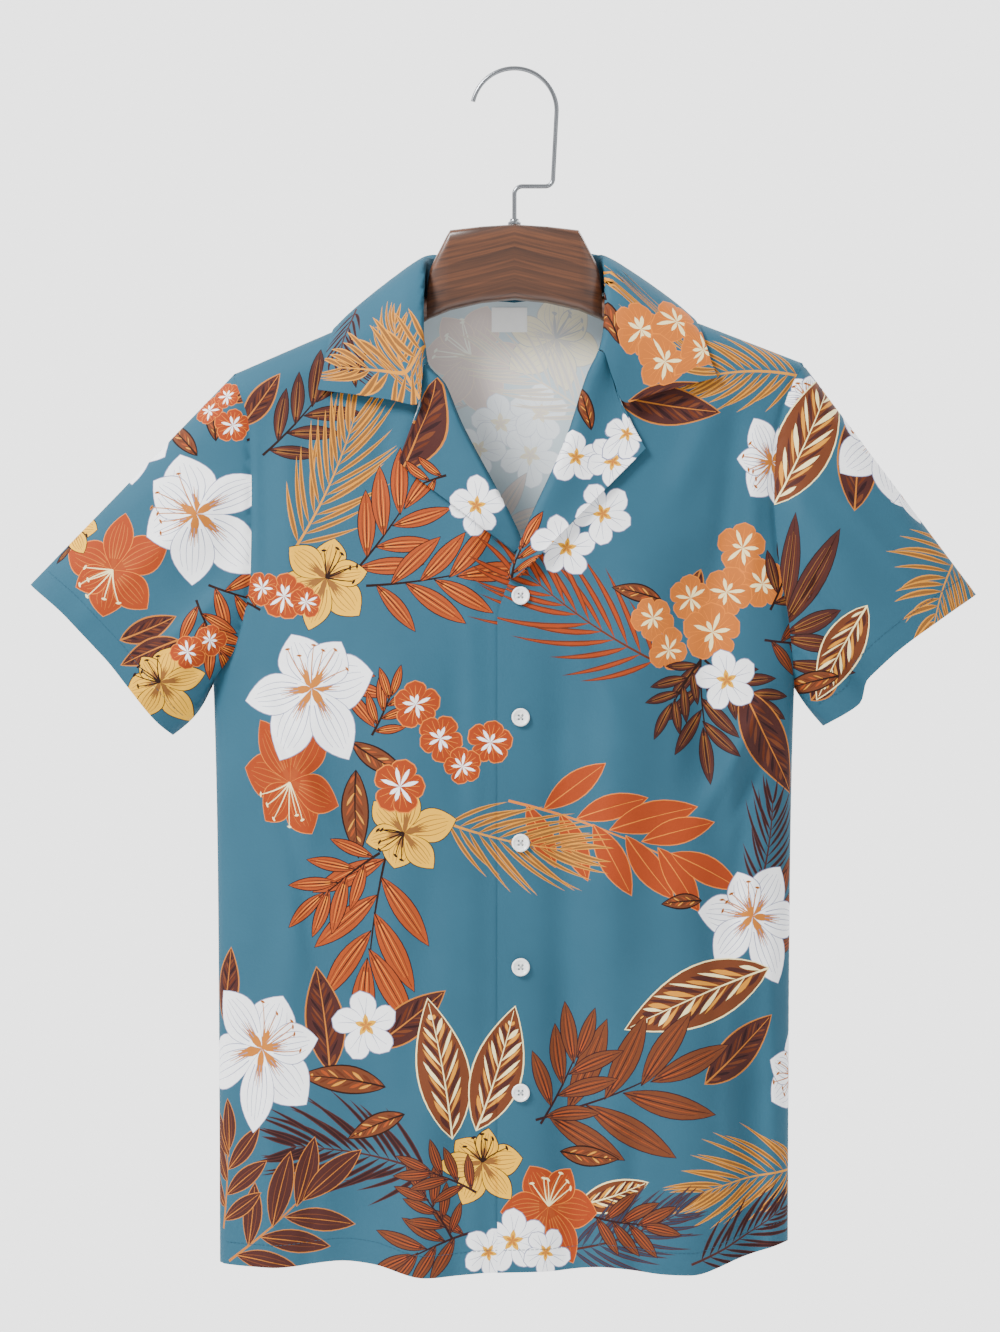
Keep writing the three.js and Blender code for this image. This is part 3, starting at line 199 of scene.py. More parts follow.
COLLAR = {side: [Curve(*((row[0], row[i]) for row in rows)) for i in range(1, 6)]
          for side, rows in COLLAR_ROWS.items()}
# Where collar and lapel meet at their edges, and how high up the front's edge the collar's seam starts
NOTCH = {Side.RIGHT: (-71.2, -257.5), Side.LEFT: (80.6, -256.5)}
GORGE_SHARE = {Side.RIGHT: 0.8112, Side.LEFT: 0.8388}
# Drop of the back's neck edge below the ridge, along the cloth, by distance from the middle
BACK_NECK = Curve((0, 38.5), (28, 33.2), (56, 22), (67, 12), (72, 0))
# Cuffs: outer corner, inner corner, depth, sag of the underside; then how each one's edge waves
CUFF = {Side.RIGHT: (-370, -393, -261, -508, 21, 5), Side.LEFT: (353, -400.5, 236, -501, 22, 1)}
CUFF_WAVE = {
    Side.RIGHT: Curve((0, 0), (0.1, 1.6), (0.3, -1), (0.5, -3.5), (0.75, -3.6), (1, 0)),
    Side.LEFT: Curve((0, 0), (0.2, 4.6), (0.32, -5.5), (0.5, -7), (0.8, -3.6), (1, 0)),
}


@dataclass(frozen=True)
class Fold:
    """A fold of the body's cloth from its top to its foot; rise is how far it stands out."""

    face: Face
    top_x: float
    top_z: float
    foot_x: float
    foot_z: float
    width: float
    rise: float
    fade: float = 110.0


@dataclass(frozen=True)
class SleeveFold:
    """A fold along a sleeve at a share of its height, strongest at the run given."""

    side: Side
    face: Face
    share: float
    width: float
    run: float
    rise: float
    reach: float = 0.45


F, B = Face.FRONT, Face.BACK
R, L = Side.RIGHT, Side.LEFT
MAIN_FOLDS = [
    Fold(F, 158, -300, 118, -640, 26, -5), Fold(F, 96, -330, 78, -700, 24, 3),
    Fold(F, 128, -640, 136, -990, 34, 6), Fold(F, 178, -680, 176, -990, 20, -6),
    Fold(F, -112, -740, -132, -990, 34, -6), Fold(F, -84, -700, -66, -990, 26, 6),
    Fold(F, -98, -380, -62, -740, 36, 3), Fold(F, -205, -440, -140, -620, 16, 3.5),
    Fold(F, 190, -440, 150, -600, 15, 3), Fold(F, 40, -620, 52, -990, 24, -3),
    Fold(B, -92, -300, -70, -990, 30, 5), Fold(B, -150, -420, -132, -990, 24, -5),
    Fold(B, 30, -380, 8, -990, 26, -4), Fold(B, 100, -300, 84, -990, 28, 5),
    Fold(B, 160, -460, 142, -990, 22, -5),
]
# Small creases, seen as soft lines of light and shade on the real cloth, and then the soft drapes
FINE_FOLDS = [
    Fold(F, -198, -452, -166, -540, 6, 1.6, 34), Fold(F, -206, -486, -150, -560, 5, -1.3, 30),
    Fold(F, -212, -520, -176, -596, 6, 1.2, 34), Fold(F, 196, -458, 168, -540, 6, 1.7, 34),
    Fold(F, 204, -492, 158, -588, 6, -1.4, 36), Fold(F, 208, -540, 176, -640, 7, 1.3, 44),
    Fold(F, 172, -236, 150, -420, 9, -1.4, 60), Fold(F, 186, -250, 178, -430, 7, 1.2, 60),
    Fold(F, -176, -250, -168, -420, 8, 1.3, 60), Fold(F, -192, -262, -188, -400, 6, -1.0, 50),
    Fold(F, -150, -560, -120, -720, 11, 1.2, 60), Fold(F, 144, -380, 120, -560, 10, 1.4, 60),
    Fold(F, 150, -600, 152, -760, 9, -1.6, 60), Fold(F, 166, -700, 160, -930, 8, 2.0, 60),
    Fold(F, 196, -640, 196, -930, 7, 1.8, 60), Fold(F, -186, -700, -184, -930, 8, 1.5, 70),
    Fold(F, -152, -780, -158, -930, 8, -1.5, 50), Fold(F, -30, -760, -34, -930, 10, 1.2, 60),
    Fold(F, 88, -780, 92, -930, 9, -1.5, 50), Fold(F, -46, -420, -40, -600, 10, -1.0, 60),
    Fold(F, 60, -430, 54, -620, 10, -1.0, 60), Fold(F, -90, -230, -112, -360, 9, -1.0, 50),
    Fold(B, -196, -450, -150, -560, 7, 1.6, 40), Fold(B, 196, -460, 150, -570, 7, 1.6, 40),
    Fold(B, -120, -240, -112, -520, 10, -1.3, 70), Fold(B, 126, -240, 118, -520, 10, 1.2, 70),
    Fold(B, -40, -300, -30, -620, 12, 1.2, 80), Fold(B, 60, -560, 48, -930, 10, 1.5, 80),
    Fold(B, -112, -600, -104, -930, 9, 1.6, 70), Fold(B, -186, -640, -186, -930, 8, -1.5, 70),
    Fold(B, 188, -620, 186, -930, 8, 1.6, 70), Fold(B, -16, -700, -22, -930, 9, 1.3, 60),
    # Soft drapes down the fronts and back, between the deeper ones
    Fold(F, 34, -400, 42, -960, 15, -2.6), Fold(F, 68, -430, 78, -900, 17, 2.0),
    Fold(F, 116, -410, 130, -720, 16, 2.4), Fold(F, 142, -430, 170, -720, 13, -2.4),
    Fold(F, -150, -420, -178, -800, 14, 2.4), Fold(F, -60, -540, -86, -880, 16, -2.2),
    Fold(F, -198, -474, -118, -610, 9, 2.4, 60), Fold(F, 192, -474, 126, -600, 9, 2.4, 60),
    Fold(F, -186, -470, -150, -700, 8, -2.0, 60), Fold(F, 186, -470, 160, -700, 8, -2.0, 60),
    Fold(F, 26, -404, 92, -520, 12, 1.8, 50), Fold(F, -30, -700, -44, -930, 14, -2.0),
    Fold(F, -176, -232, -120, -330, 13, 1.8, 50), Fold(F, 160, -230, 116, -350, 13, 1.8, 50),
    Fold(B, -60, -260, -52, -760, 15, -2.2), Fold(B, 120, -420, 130, -900, 14, 2.2),
    Fold(B, -190, -474, -120, -600, 9, 2.2, 60), Fold(B, 184, -474, 110, -600, 9, 2.2, 60),
    Fold(B, 66, -230, 76, -500, 14, 1.8), Fold(B, -130, -640, -150, -930, 12, 2.2),
]
SLEEVE_FOLDS = [
    SleeveFold(R, F, 0.24, 0.09, 0.35, 4), SleeveFold(R, F, 0.5, 0.12, 0.8, -3),
    SleeveFold(L, F, 0.3, 0.07, 0.15, -5), SleeveFold(L, F, 0.62, 0.12, 0.75, 4),
    SleeveFold(R, B, 0.35, 0.1, 0.4, 4), SleeveFold(L, B, 0.4, 0.1, 0.4, 4),
    SleeveFold(R, F, 0.12, 0.03, 0.6, 1.6, 0.4), SleeveFold(R, F, 0.36, 0.035, 0.55, 1.5, 0.4),
    SleeveFold(R, F, 0.7, 0.05, 0.5, 1.2, 0.5), SleeveFold(L, F, 0.16, 0.03, 0.6, 1.6, 0.4),
    SleeveFold(L, F, 0.44, 0.035, 0.55, -1.7, 0.4), SleeveFold(L, F, 0.8, 0.05, 0.5, 1.4, 0.5),
    SleeveFold(R, B, 0.18, 0.04, 0.5, 1.6, 0.4), SleeveFold(L, B, 0.2, 0.04, 0.5, 1.6, 0.4),
    SleeveFold(R, B, 0.62, 0.06, 0.6, -1.6, 0.5), SleeveFold(L, B, 0.66, 0.06, 0.6, -1.6, 0.5),
]


def smooth(value: np.ndarray, low: float, high: float) -> np.ndarray:
    """Eased step from 0 at low to 1 at high."""
    t = np.clip((value - low) / (high - low), 0, 1)
    return t * t * (3 - 2 * t)


def ridge_z(x: np.ndarray) -> np.ndarray:
    """Height of the shoulder ridge, an arch across the neck opening."""
    return -135.5 - (SHOULDER_FALL - 0.0247 * np.tanh(x / 40)) * np.hypot(x, 40)


def drop_of_arc(arc: np.ndarray) -> np.ndarray:
    """Drop below the ridge after going some way along the cloth from it.

    Args:
        arc: the way along the cloth in mm, of either sign.

    Returns:
        The drop in mm.
    """
    length = np.abs(arc)
    rounded = RIDGE_DROP * (1 - np.cos(np.minimum(length, QUARTER_ARC) / RIDGE_DROP))
    return np.where(length > QUARTER_ARC, RIDGE_DROP + length - QUARTER_ARC, rounded)


def arc_of_drop(drop: np.ndarray) -> np.ndarray:
    """Way along the cloth from the ridge to some drop below it."""
    rounded = RIDGE_DROP * np.arccos(1 - np.clip(drop, 0, RIDGE_DROP) / RIDGE_DROP)
    return np.where(drop > RIDGE_DROP, QUARTER_ARC + drop - RIDGE_DROP, rounded)


# The way round a body of that half width and depth, at 400 angles of a quarter turn
_TURN = np.linspace(0, math.pi / 2, 400)
_GIRTH = np.concatenate([[0], np.cumsum(np.hypot(
    np.diff(WIDTH_UNIT * np.sin(_TURN)), np.diff(GIRTH_DEPTH * np.maximum(np.cos(_TURN), 0) ** FLANK)))])


def girth_of(angle: np.ndarray, z: np.ndarray) -> np.ndarray:
    """Way round the body from its middle, for an angle at a height."""
    size = BODY_HALF(z) / WIDTH_UNIT
    return np.sign(angle) * np.interp(np.abs(angle), _TURN, _GIRTH) * size


def angle_of_girth(girth: np.ndarray, z: np.ndarray) -> np.ndarray:
    """Angle round the body for a way round it from its middle.

    Args:
        girth: way round in mm.
        z: height.

    Returns:
        The angle, a quarter turn at the flank, and beyond it for places past the side seam.
    """
    size = BODY_HALF(z) / WIDTH_UNIT
    reach = np.abs(girth) / size
    beyond = np.maximum(reach - _GIRTH[-1], 0) / GIRTH_DEPTH
    return np.sign(girth) * (np.interp(reach, _GIRTH, _TURN) + beyond)


def fold_rise(face: Face, x: np.ndarray, z: np.ndarray) -> np.ndarray:
    """How far the folds and creases stand out from the smooth body.

    Args:
        face: front or back.
        x: distance across.
        z: height.

    Returns:
        The rise in mm, less the dip of the armhole seams.
    """
    rise = np.zeros_like(x)
    for fold in MAIN_FOLDS + FINE_FOLDS:
        if fold.face is not face:
            continue
        run = (z - fold.top_z) / (fold.foot_z - fold.top_z)
        across = (x - fold.top_x - (fold.foot_x - fold.top_x) * run) / fold.width
        ends = smooth(fold.top_z - z, 0, fold.fade)
        if fold in MAIN_FOLDS or fold.foot_z > OPEN_FOOT:
            ends = ends * smooth(z - fold.foot_z, 0, fold.fade)
        rise += fold.rise * np.exp(-across * across) * ends
    return CREASE_DEPTH * rise - seam_dip(x, z)


def seam_z(side: Side, share: np.ndarray) -> np.ndarray:
    """Height along an armhole seam, for a share of the way from the armpit to the shoulder's tip."""
    top = float(ridge_z(ARMHOLE[side](np.array(1.0))))
    return ARMPIT_Z[side] + (top - ARMPIT_Z[side]) * share


def seam_dip(x: np.ndarray, z: np.ndarray) -> np.ndarray:
    """How far the body's cloth is drawn in along the two armhole seams.

    Args:
        x: distance across.
        z: height.

    Returns:
        The dip in mm.
    """
    dip = np.zeros_like(x)
    for side in Side:
        top = float(ridge_z(ARMHOLE[side](np.array(1.0))))
        share = (z - ARMPIT_Z[side]) / (top - ARMPIT_Z[side])
        away = (ARMHOLE[side](share) - x) / SEAM_WIDE
        dip += SEAM_DIP * np.exp(-away * away) * smooth(share, 0, 0.06)
    return dip


def on_body(face: Face, girth: np.ndarray, level: np.ndarray, step_back: bool = False) -> np.ndarray:
    """Outside of the body's cloth.

    Args:
        face: front or back.
        girth: way round from the middle, in mm.
        level: height, measured along the cloth where it rounds over the shoulder.
        step_back: whether this is the front that passes under the other one.

    Returns:
        Points, one row each.
    """
    angle = angle_of_girth(girth, level)
    x = CENTRE + BODY_HALF(level) * np.sin(angle)
    arc = np.maximum(ridge_z(x) + ARC_SHIFT - level, 0)
    drop = drop_of_arc(arc)
    z = ridge_z(x) - drop
    side_share = np.clip((x - CENTRE) / BODY_HALF(z), -1, 1)
    near_ridge = np.sqrt(np.maximum(1 - side_share**2, 0))
    flank = np.where(drop > RIDGE_DROP, np.maximum(np.cos(angle), 0), near_ridge) ** FLANK
    depth = RIDGE_DROP + (DEPTH[face] - RIDGE_DROP) * smooth(drop, 0, FULL_DROP)
    crown = np.sin(np.minimum(arc, QUARTER_ARC) / RIDGE_DROP)
    y = face.value * (depth * flank * crown + fold_rise(face, x, z) * smooth(flank, 0.1, 0.6))
    if step_back:
        y = y + underlap(x, z)
    return np.stack([x, y, z], -1)


def underlap(x: np.ndarray, z: np.ndarray) -> np.ndarray:
    """How far the right front steps back under the left one and under its lapel's foot.

    Args:
        x: distance across.
        z: height.

    Returns:
        The step in mm.
    """
    step = 2.0 * smooth(x, -36, -18) * smooth(-z, 330, 362)
    pocket = 5.4 * smooth(x, -34, -8) * (1 - smooth(np.abs(z + 376) / 46, 0.2, 1))
    return step + pocket


def flat_of(x: np.ndarray, z: np.ndarray) -> np.ndarray:
    """Flat place of a point of the body seen from the front.

    Args:
        x: distance across.
        z: height.

    Returns:
        Way round and level, one row each.
    """
    x, z = np.broadcast_arrays(np.asarray(x, float), np.asarray(z, float))
    level = ridge_z(x) + ARC_SHIFT - arc_of_drop(ridge_z(x) - z)
    angle = np.arcsin(np.clip((x - CENTRE) / BODY_HALF(level), -1, 1))
    return np.stack([girth_of(angle, level), level], -1)


def body_point(face: Face, x: np.ndarray, z: np.ndarray, step_back: bool = False) -> np.ndarray:
    """Point of the body's outside by its distance across and its height."""
    flat = flat_of(x, z)
    return on_body(face, flat[..., 0], flat[..., 1], step_back)


def over_ridge(x: np.ndarray, arc: np.ndarray) -> np.ndarray:
    """Point of the body's outside near the shoulder ridge.

    Args:
        x: distance across.
        arc: way along the cloth from the ridge, negative to the front.

    Returns:
        Points, one row each.
    """
    z = ridge_z(x) - drop_of_arc(arc)
    front = body_point(Face.FRONT, x, z)
    back = body_point(Face.BACK, x, z)
    return np.where((arc < 0)[..., None], front, back)


@dataclass
class Sheet:
    """One cut sheet of cloth: its flat outline, and where its flat places lie in space."""

    name: str
    outline: np.ndarray
    lift: Callable[[np.ndarray], np.ndarray]
    thickness: float
    grid: float = 5.0
    outward: float = 1.0
    extra: np.ndarray = field(default_factory=lambda: np.zeros((0, 2)))
    crease: np.ndarray = field(default_factory=lambda: np.zeros((0, 2)))

    def lay(self, flat: np.ndarray) -> tuple[np.ndarray, np.ndarray]:
        """Lays flat places in space.

        Args:
            flat: the places, one row each.

        Returns:
            Their points in space and their outward directions.
        """
        step = 0.15
        right, up = np.array([step, 0]), np.array([0, step])
        across = self.lift(flat + right) - self.lift(flat - right)
        along = self.lift(flat + up) - self.lift(flat - up)
        normal = np.cross(across, along) * self.outward
        size = np.linalg.norm(normal, axis=-1, keepdims=True)
        return self.lift(flat), normal / np.maximum(size, 1e-9)


def beside_seam(side: Side) -> np.ndarray:
    """Flat places close to an armhole seam, so that its dip is smooth.

    Args:
        side: the wearer's side.

    Returns:
        The places, one row each.
    """
    share = np.linspace(0.02, 0.98, 90)
    return np.concatenate([flat_of(ARMHOLE[side](share) - side.value * away, seam_z(side, share))
                           for away in (1.7, 3.4, 5.4)])


def front_sheet(side: Side) -> Sheet:
    """One front, from side seam and armhole to its edge.

    Args:
        side: the wearer's side.

    Returns:
        Its cut sheet.
    """
    armpit = ARMPIT_Z[side]
    neck_z = float(ridge_z(np.array(side.value * NECK_X)))
    tip_x = float(ARMHOLE[side](1.0))
    low_edge = float(EDGE[side][0](-940.0))
    hem_x = np.linspace(CENTRE + side.value * HEM_HALF, low_edge, 60)
    hem = flat_of(hem_x, HEM[Face.FRONT](hem_x))
    hem[0, 0] = girth_of(np.array(side.value * math.pi / 2), hem[0, 1])
    edge_z = np.linspace(HEM[Face.FRONT](np.array(low_edge)), neck_z, 150)[1:]
    edge = flat_of(EDGE[side][0](edge_z), edge_z)
    shoulder_x = np.linspace(side.value * NECK_X, tip_x, 30)[1:]
    shoulder = flat_of(shoulder_x, ridge_z(shoulder_x))
    share = np.linspace(1, 0, 50)[1:]
    armhole = flat_of(ARMHOLE[side](share), seam_z(side, share))
    side_z = np.linspace(armpit, hem[0, 1], 60)[1:-1]
    seam = np.stack([girth_of(np.full(58, side.value * math.pi / 2), side_z), side_z], -1)
    armhole[-1, 0] = girth_of(np.array(side.value * math.pi / 2), armhole[-1, 1])
    outline = np.concatenate([hem, edge, shoulder, armhole, seam])
    name = f"front_{side.name.lower()}"
    below = side is Side.RIGHT
    return Sheet(name, outline, lambda p: on_body(Face.FRONT, p[..., 0], p[..., 1], below), CLOTH_THIN,
                 extra=beside_seam(side))


def back_sheet() -> Sheet:
    """The back, from side seam to side seam.

    Returns:
        Its cut sheet.
    """
    def hole(side: Side, share: np.ndarray) -> np.ndarray:
        """One armhole's edge.

        Args:
            side: the wearer's side.
            share: how high along the seam, 0 at the armpit and 1 at the shoulder.

        Returns:
            Flat places, one row each.
        """
        flat = flat_of(ARMHOLE[side](share), seam_z(side, share))
        flat[share == 0, 0] = girth_of(np.array(side.value * math.pi / 2), np.array(ARMPIT_Z[side]))
        return flat

    quarter = math.pi / 2
    hem_x = np.linspace(CENTRE - HEM_HALF, CENTRE + HEM_HALF, 100)
    hem = flat_of(hem_x, HEM[Face.BACK](hem_x))
    for end, sign in ((0, -1), (-1, 1)):
        hem[end, 0] = girth_of(np.array(sign * quarter), hem[end, 1])
    left_z = np.linspace(hem[-1, 1], ARMPIT_Z[L], 60)[1:-1]
    left_seam = np.stack([girth_of(np.full(58, quarter), left_z), left_z], -1)
    right_z = np.linspace(ARMPIT_Z[R], hem[0, 1], 60)[1:-1]
    right_seam = np.stack([girth_of(np.full(58, -quarter), right_z), right_z], -1)
    left_x = np.linspace(float(ARMHOLE[L](1.0)), NECK_X, 30)
    right_x = np.linspace(-NECK_X, float(ARMHOLE[R](1.0)), 30)
    neck_x = NECK_X * np.cos(np.linspace(0, math.pi, 60))[1:-1]
    neck_level = ridge_z(neck_x) + ARC_SHIFT - BACK_NECK(np.abs(neck_x))
    neck = flat_of(neck_x, ridge_z(neck_x) - drop_of_arc(BACK_NECK(np.abs(neck_x))))
    neck[:, 1] = neck_level
    outline = np.concatenate([
        hem, left_seam, hole(L, np.linspace(0, 1, 50)),
        flat_of(left_x, ridge_z(left_x))[1:], neck, flat_of(right_x, ridge_z(right_x)),
        hole(R, np.linspace(1, 0, 50))[1:], right_seam,
    ])
    return Sheet("back", outline, lambda p: on_body(Face.BACK, p[..., 0], p[..., 1]), CLOTH_THIN,
                 outward=-1.0, extra=np.concatenate([beside_seam(R), beside_seam(L)]))


@dataclass
class SleeveForm:
    """A sleeve as a flattened tube, unfolded about the fold along its top."""

    side: Side
    # The sleeve's height, its run from cuff to armhole at its underside and how much more it is at the
    # top, and how far its middle stands out
    tall: float = 165.0
    under_run: float = 60.0
    more_run: float = 160.0
    fullness: float = 5.0

    def __post_init__(self) -> None:
        """Works out the sleeve's corners and directions from its cuff and its shoulder tip."""
        side = self.side
        outer_x, outer_z, inner_x, inner_z, self.depth, self.sag = CUFF[side]
        self.outer, self.inner = np.array([outer_x, outer_z]), np.array([inner_x, inner_z])
        tip_x = float(ARMHOLE[side](1.0))
        self.tip = np.array([tip_x, float(ridge_z(np.array(tip_x)))])
        self.length = float(np.linalg.norm(self.outer - self.tip))
        self.along = (self.outer - self.tip) / self.length
        self.down = np.array([-side.value * abs(self.along[1]), -abs(self.along[0])])

    def cuff(self, share: np.ndarray) -> np.ndarray:
        """Cuff edge seen from the front.

        Args:
            share: how far from its inner corner to its outer one, 0 to 1.

        Returns:
            Places seen from the front, one row each.
        """
        line = self.outer - self.inner
        along = line / np.linalg.norm(line)
        out = np.array([self.side.value * abs(along[1]), -abs(along[0])])
        wave = CUFF_WAVE[self.side](share)
        return self.inner + share[..., None] * line + wave[..., None] * out

    def hole(self, share: np.ndarray) -> np.ndarray:
        """Armhole seam seen from the front.

        Args:
            share: how far from the armpit to the shoulder's tip, 0 to 1.

        Returns:
            Places seen from the front, one row each.
        """
        z = seam_z(self.side, share)
        x = np.where(share <= 0, CENTRE + self.side.value * BODY_HALF(z), ARMHOLE[self.side](share))
        return np.stack([x, z], -1)

    def seen(self, share: np.ndarray, run: np.ndarray) -> np.ndarray:
        """Place seen from the front, by share of the height and run from cuff to armhole."""
        return self.cuff(share) * (1 - run)[..., None] + self.hole(share) * run[..., None]

    def solve(self, place: np.ndarray) -> tuple[np.ndarray, np.ndarray]:
        """Finds what share and run give places seen from the front, in steps from a first guess.

        Args:
            place: the places, one row each.

        Returns:
            Their shares and their runs.
        """
        off = place - self.tip
        share = np.clip(1 - (off @ self.down) / self.tall, 0.01, 0.99)
        run = np.clip(1 - (off @ self.along) / (self.under_run + self.more_run * share), 0.01, 0.99)
        for _ in range(14):
            here = self.seen(share, run) - place
            d_share = (self.seen(share + 1e-3, run) - self.seen(share - 1e-3, run)) / 2e-3
            d_run = (self.seen(share, run + 1e-3) - self.seen(share, run - 1e-3)) / 2e-3
            det = d_share[..., 0] * d_run[..., 1] - d_share[..., 1] * d_run[..., 0]
            det = np.where(np.abs(det) < 1e-6, 1e-6, det)
            step_share = (here[..., 0] * d_run[..., 1] - here[..., 1] * d_run[..., 0]) / det
            step_run = (d_share[..., 0] * here[..., 1] - d_share[..., 1] * here[..., 0]) / det
            share = np.clip(share - np.clip(step_share, -0.2, 0.2), -0.03, 1.03)
            run = np.clip(run - np.clip(step_run, -0.3, 0.3), -0.05, 1.05)
        return share, run

    def lift(self, flat: np.ndarray) -> np.ndarray:
        """Lifts flat places on to the sleeve's outside.

        Args:
            flat: way along the top from its tip, and way off the top fold, negative to the front.

        Returns:
            Points in space, one row each.
        """
        place = self.tip + flat[..., :1] * self.along + np.abs(flat[..., 1:]) * self.down
        share, run = self.solve(place)
        y = np.zeros_like(run)
        for face, mask in ((F, flat[..., 1] < 0), (B, flat[..., 1] >= 0)):
            y = np.where(mask, face.value * self.rise(face, share, run), y)
        swell = np.sin(math.pi * np.clip(run, 0, 1))
        sag = self.sag * swell * np.clip(1 - share, 0, 1) ** 6
        x = place[..., 0] - self.side.value * 0.8 * sag
        return np.stack([x, y, place[..., 1] - 0.6 * sag], -1)

    def rise(self, face: Face, share: np.ndarray, run: np.ndarray) -> np.ndarray:
        """How far the sleeve's cloth stands off its middle plane.

        Args:
            face: front or back.
            share: share of the height.
            run: how far from cuff to armhole.

        Returns:
            The distance in mm.
        """
        round_share = np.clip(share, 0, 1)
        at_cuff = self.depth * np.sqrt(np.maximum(1 - np.abs(2 * round_share - 1) ** 2.6, 0))
        seam = self.hole(round_share)
        at_hole = np.abs(body_point(face, seam[..., 0], seam[..., 1])[..., 1])
        rise = self.fullness * np.sin(math.pi * np.clip(run, 0, 1)) * np.sin(math.pi * round_share)
        for fold in SLEEVE_FOLDS:
            if fold.side is self.side and fold.face is face:
                across = ((share - fold.share) / fold.width) ** 2
                along = ((run - fold.run) / fold.reach) ** 2
                rise = rise + fold.rise * np.exp(-across - along) * smooth(1 - run, 0, 0.2)
        ends = smooth(np.minimum(round_share, 1 - round_share), 0, 0.03)
        from_seam = (1 - run) * (self.under_run + self.more_run * round_share) / SEAM_WIDE
        swell = SEAM_DIP * run * (1 - np.exp(-from_seam * from_seam)) * smooth(round_share, 0, 0.06)
        return at_cuff * (1 - run) + at_hole * run + (CREASE_DEPTH * rise + swell) * ends

    def sheet(self) -> Sheet:
        """Unfolds the sleeve about its top fold.

        Returns:
            Its cut sheet, closed by the underarm seam.
        """
        def flat(place: np.ndarray, face: Face) -> np.ndarray:
            """Flat places of places seen from the front.

            Args:
                place: the places, one row each.
                face: front or back.

            Returns:
                Way along the top and way off the top fold.
            """
            off = place - self.tip
            return np.stack([off @ self.along, face.value * np.maximum(off @ self.down, 0)], -1)

        share = np.linspace(0, 1, 40)
        runs = np.linspace(0, 1, 16)[1:-1]
        under = self.seen(np.zeros(14), runs)
        outline = np.concatenate([
            flat(self.cuff(share), F)[:-1], flat(self.cuff(share[::-1]), B), flat(under, B),
            flat(self.hole(share), B)[:-1], flat(self.hole(share[::-1]), F), flat(under[::-1], F),
        ])
        outline = anticlockwise(outline)
        near = np.array([0.4, 1.2, 2.6, 4.6])
        ways = np.linspace(4, self.length - 4, 50)
        extra = np.array([(s, sign * t) for s in ways for t in near for sign in (-1, 1)])
        name = f"sleeve_{self.side.name.lower()}"
        crease = np.stack([ways, np.zeros_like(ways)], -1)
        return Sheet(name, outline, self.lift, CLOTH_THIN, outward=float(self.side.value), extra=extra,
                     crease=crease)


def signed_area(outline: np.ndarray) -> float:
    """Area of an outline, positive when it runs anticlockwise."""
    x, y = outline[:, 0], outline[:, 1]
    return 0.5 * float(np.sum(x * np.roll(y, -1) - np.roll(x, -1) * y))


def anticlockwise(outline: np.ndarray) -> np.ndarray:
    """The same outline, turned back to front where it runs clockwise."""
    return outline if signed_area(outline) > 0 else outline[::-1]


def sheet_from_sections(name: str, sections: np.ndarray, outward: float, thickness: float) -> Sheet:
    """A sheet that follows a run of sections.

    Args:
        name: the sheet's name.
        sections: points, by section and by place along it.
        outward: sign that makes its normals face out.
        thickness: the cloth's thickness.

    Returns:
        The sheet, flat by mean way across the sections and share along them.
    """
    steps = np.linalg.norm(np.diff(sections, axis=1), axis=-1)
    lengths = np.concatenate([np.zeros((len(sections), 1)), np.cumsum(steps, 1)], 1)
    count = sections.shape[1]
    even = np.empty_like(sections)
    for i, section in enumerate(sections):
        want = np.linspace(0, lengths[i, -1], count)
        for axis in range(3):
            even[i, :, axis] = np.interp(want, lengths[i], section[:, axis])
    middle = even[:, int(count * 0.62)]
    ways = np.concatenate([[0], np.cumsum(np.linalg.norm(np.diff(middle, axis=0), axis=-1))])
    tall = lengths[:, -1]

    def lift(flat: np.ndarray) -> np.ndarray:
        """Reads the sections between their points, and straight on beyond their ends.

        Args:
            flat: way across the sections and way along them.

        Returns:
            Points in space, one row each.
        """
        column = np.interp(flat[..., 0], ways, np.arange(len(ways)))
        down = flat[..., 1] / np.interp(flat[..., 0], ways, tall) * (count - 1)
        row = np.clip(down, 0, count - 1)
        over = (down - row)[..., None]
        wide = (flat[..., 0] - np.clip(flat[..., 0], 0, ways[-1]))[..., None]
        i = np.clip(column.astype(int), 0, len(ways) - 2)
        j = np.clip(row.astype(int), 0, count - 2)
        s, t = (column - i)[..., None], (row - j)[..., None]
        low = even[i, j] * (1 - s) + even[i + 1, j] * s
        high = even[i, j + 1] * (1 - s) + even[i + 1, j + 1] * s
        gap = np.maximum(ways[i + 1] - ways[i], 1e-6)[..., None]
        sideways = (even[i + 1, j] - even[i, j]) / gap
        return low * (1 - t) + high * t + (high - low) * over + sideways * wide

    across = np.linspace(0, ways[-1], max(int(ways[-1] / 3), 8))
    edge = np.interp(across, ways, tall)
    up = np.linspace(0, 1, 40)
    outline = np.concatenate([
        np.stack([across, np.zeros_like(across)], -1),
        np.stack([np.full(39, ways[-1]), up[1:] * edge[-1]], -1),
        np.stack([across[::-1][1:], edge[::-1][1:]], -1),
        np.stack([np.zeros(38), up[::-1][1:-1] * edge[0]], -1),
    ])
    return Sheet(name, outline, lift, thickness, outward=outward)


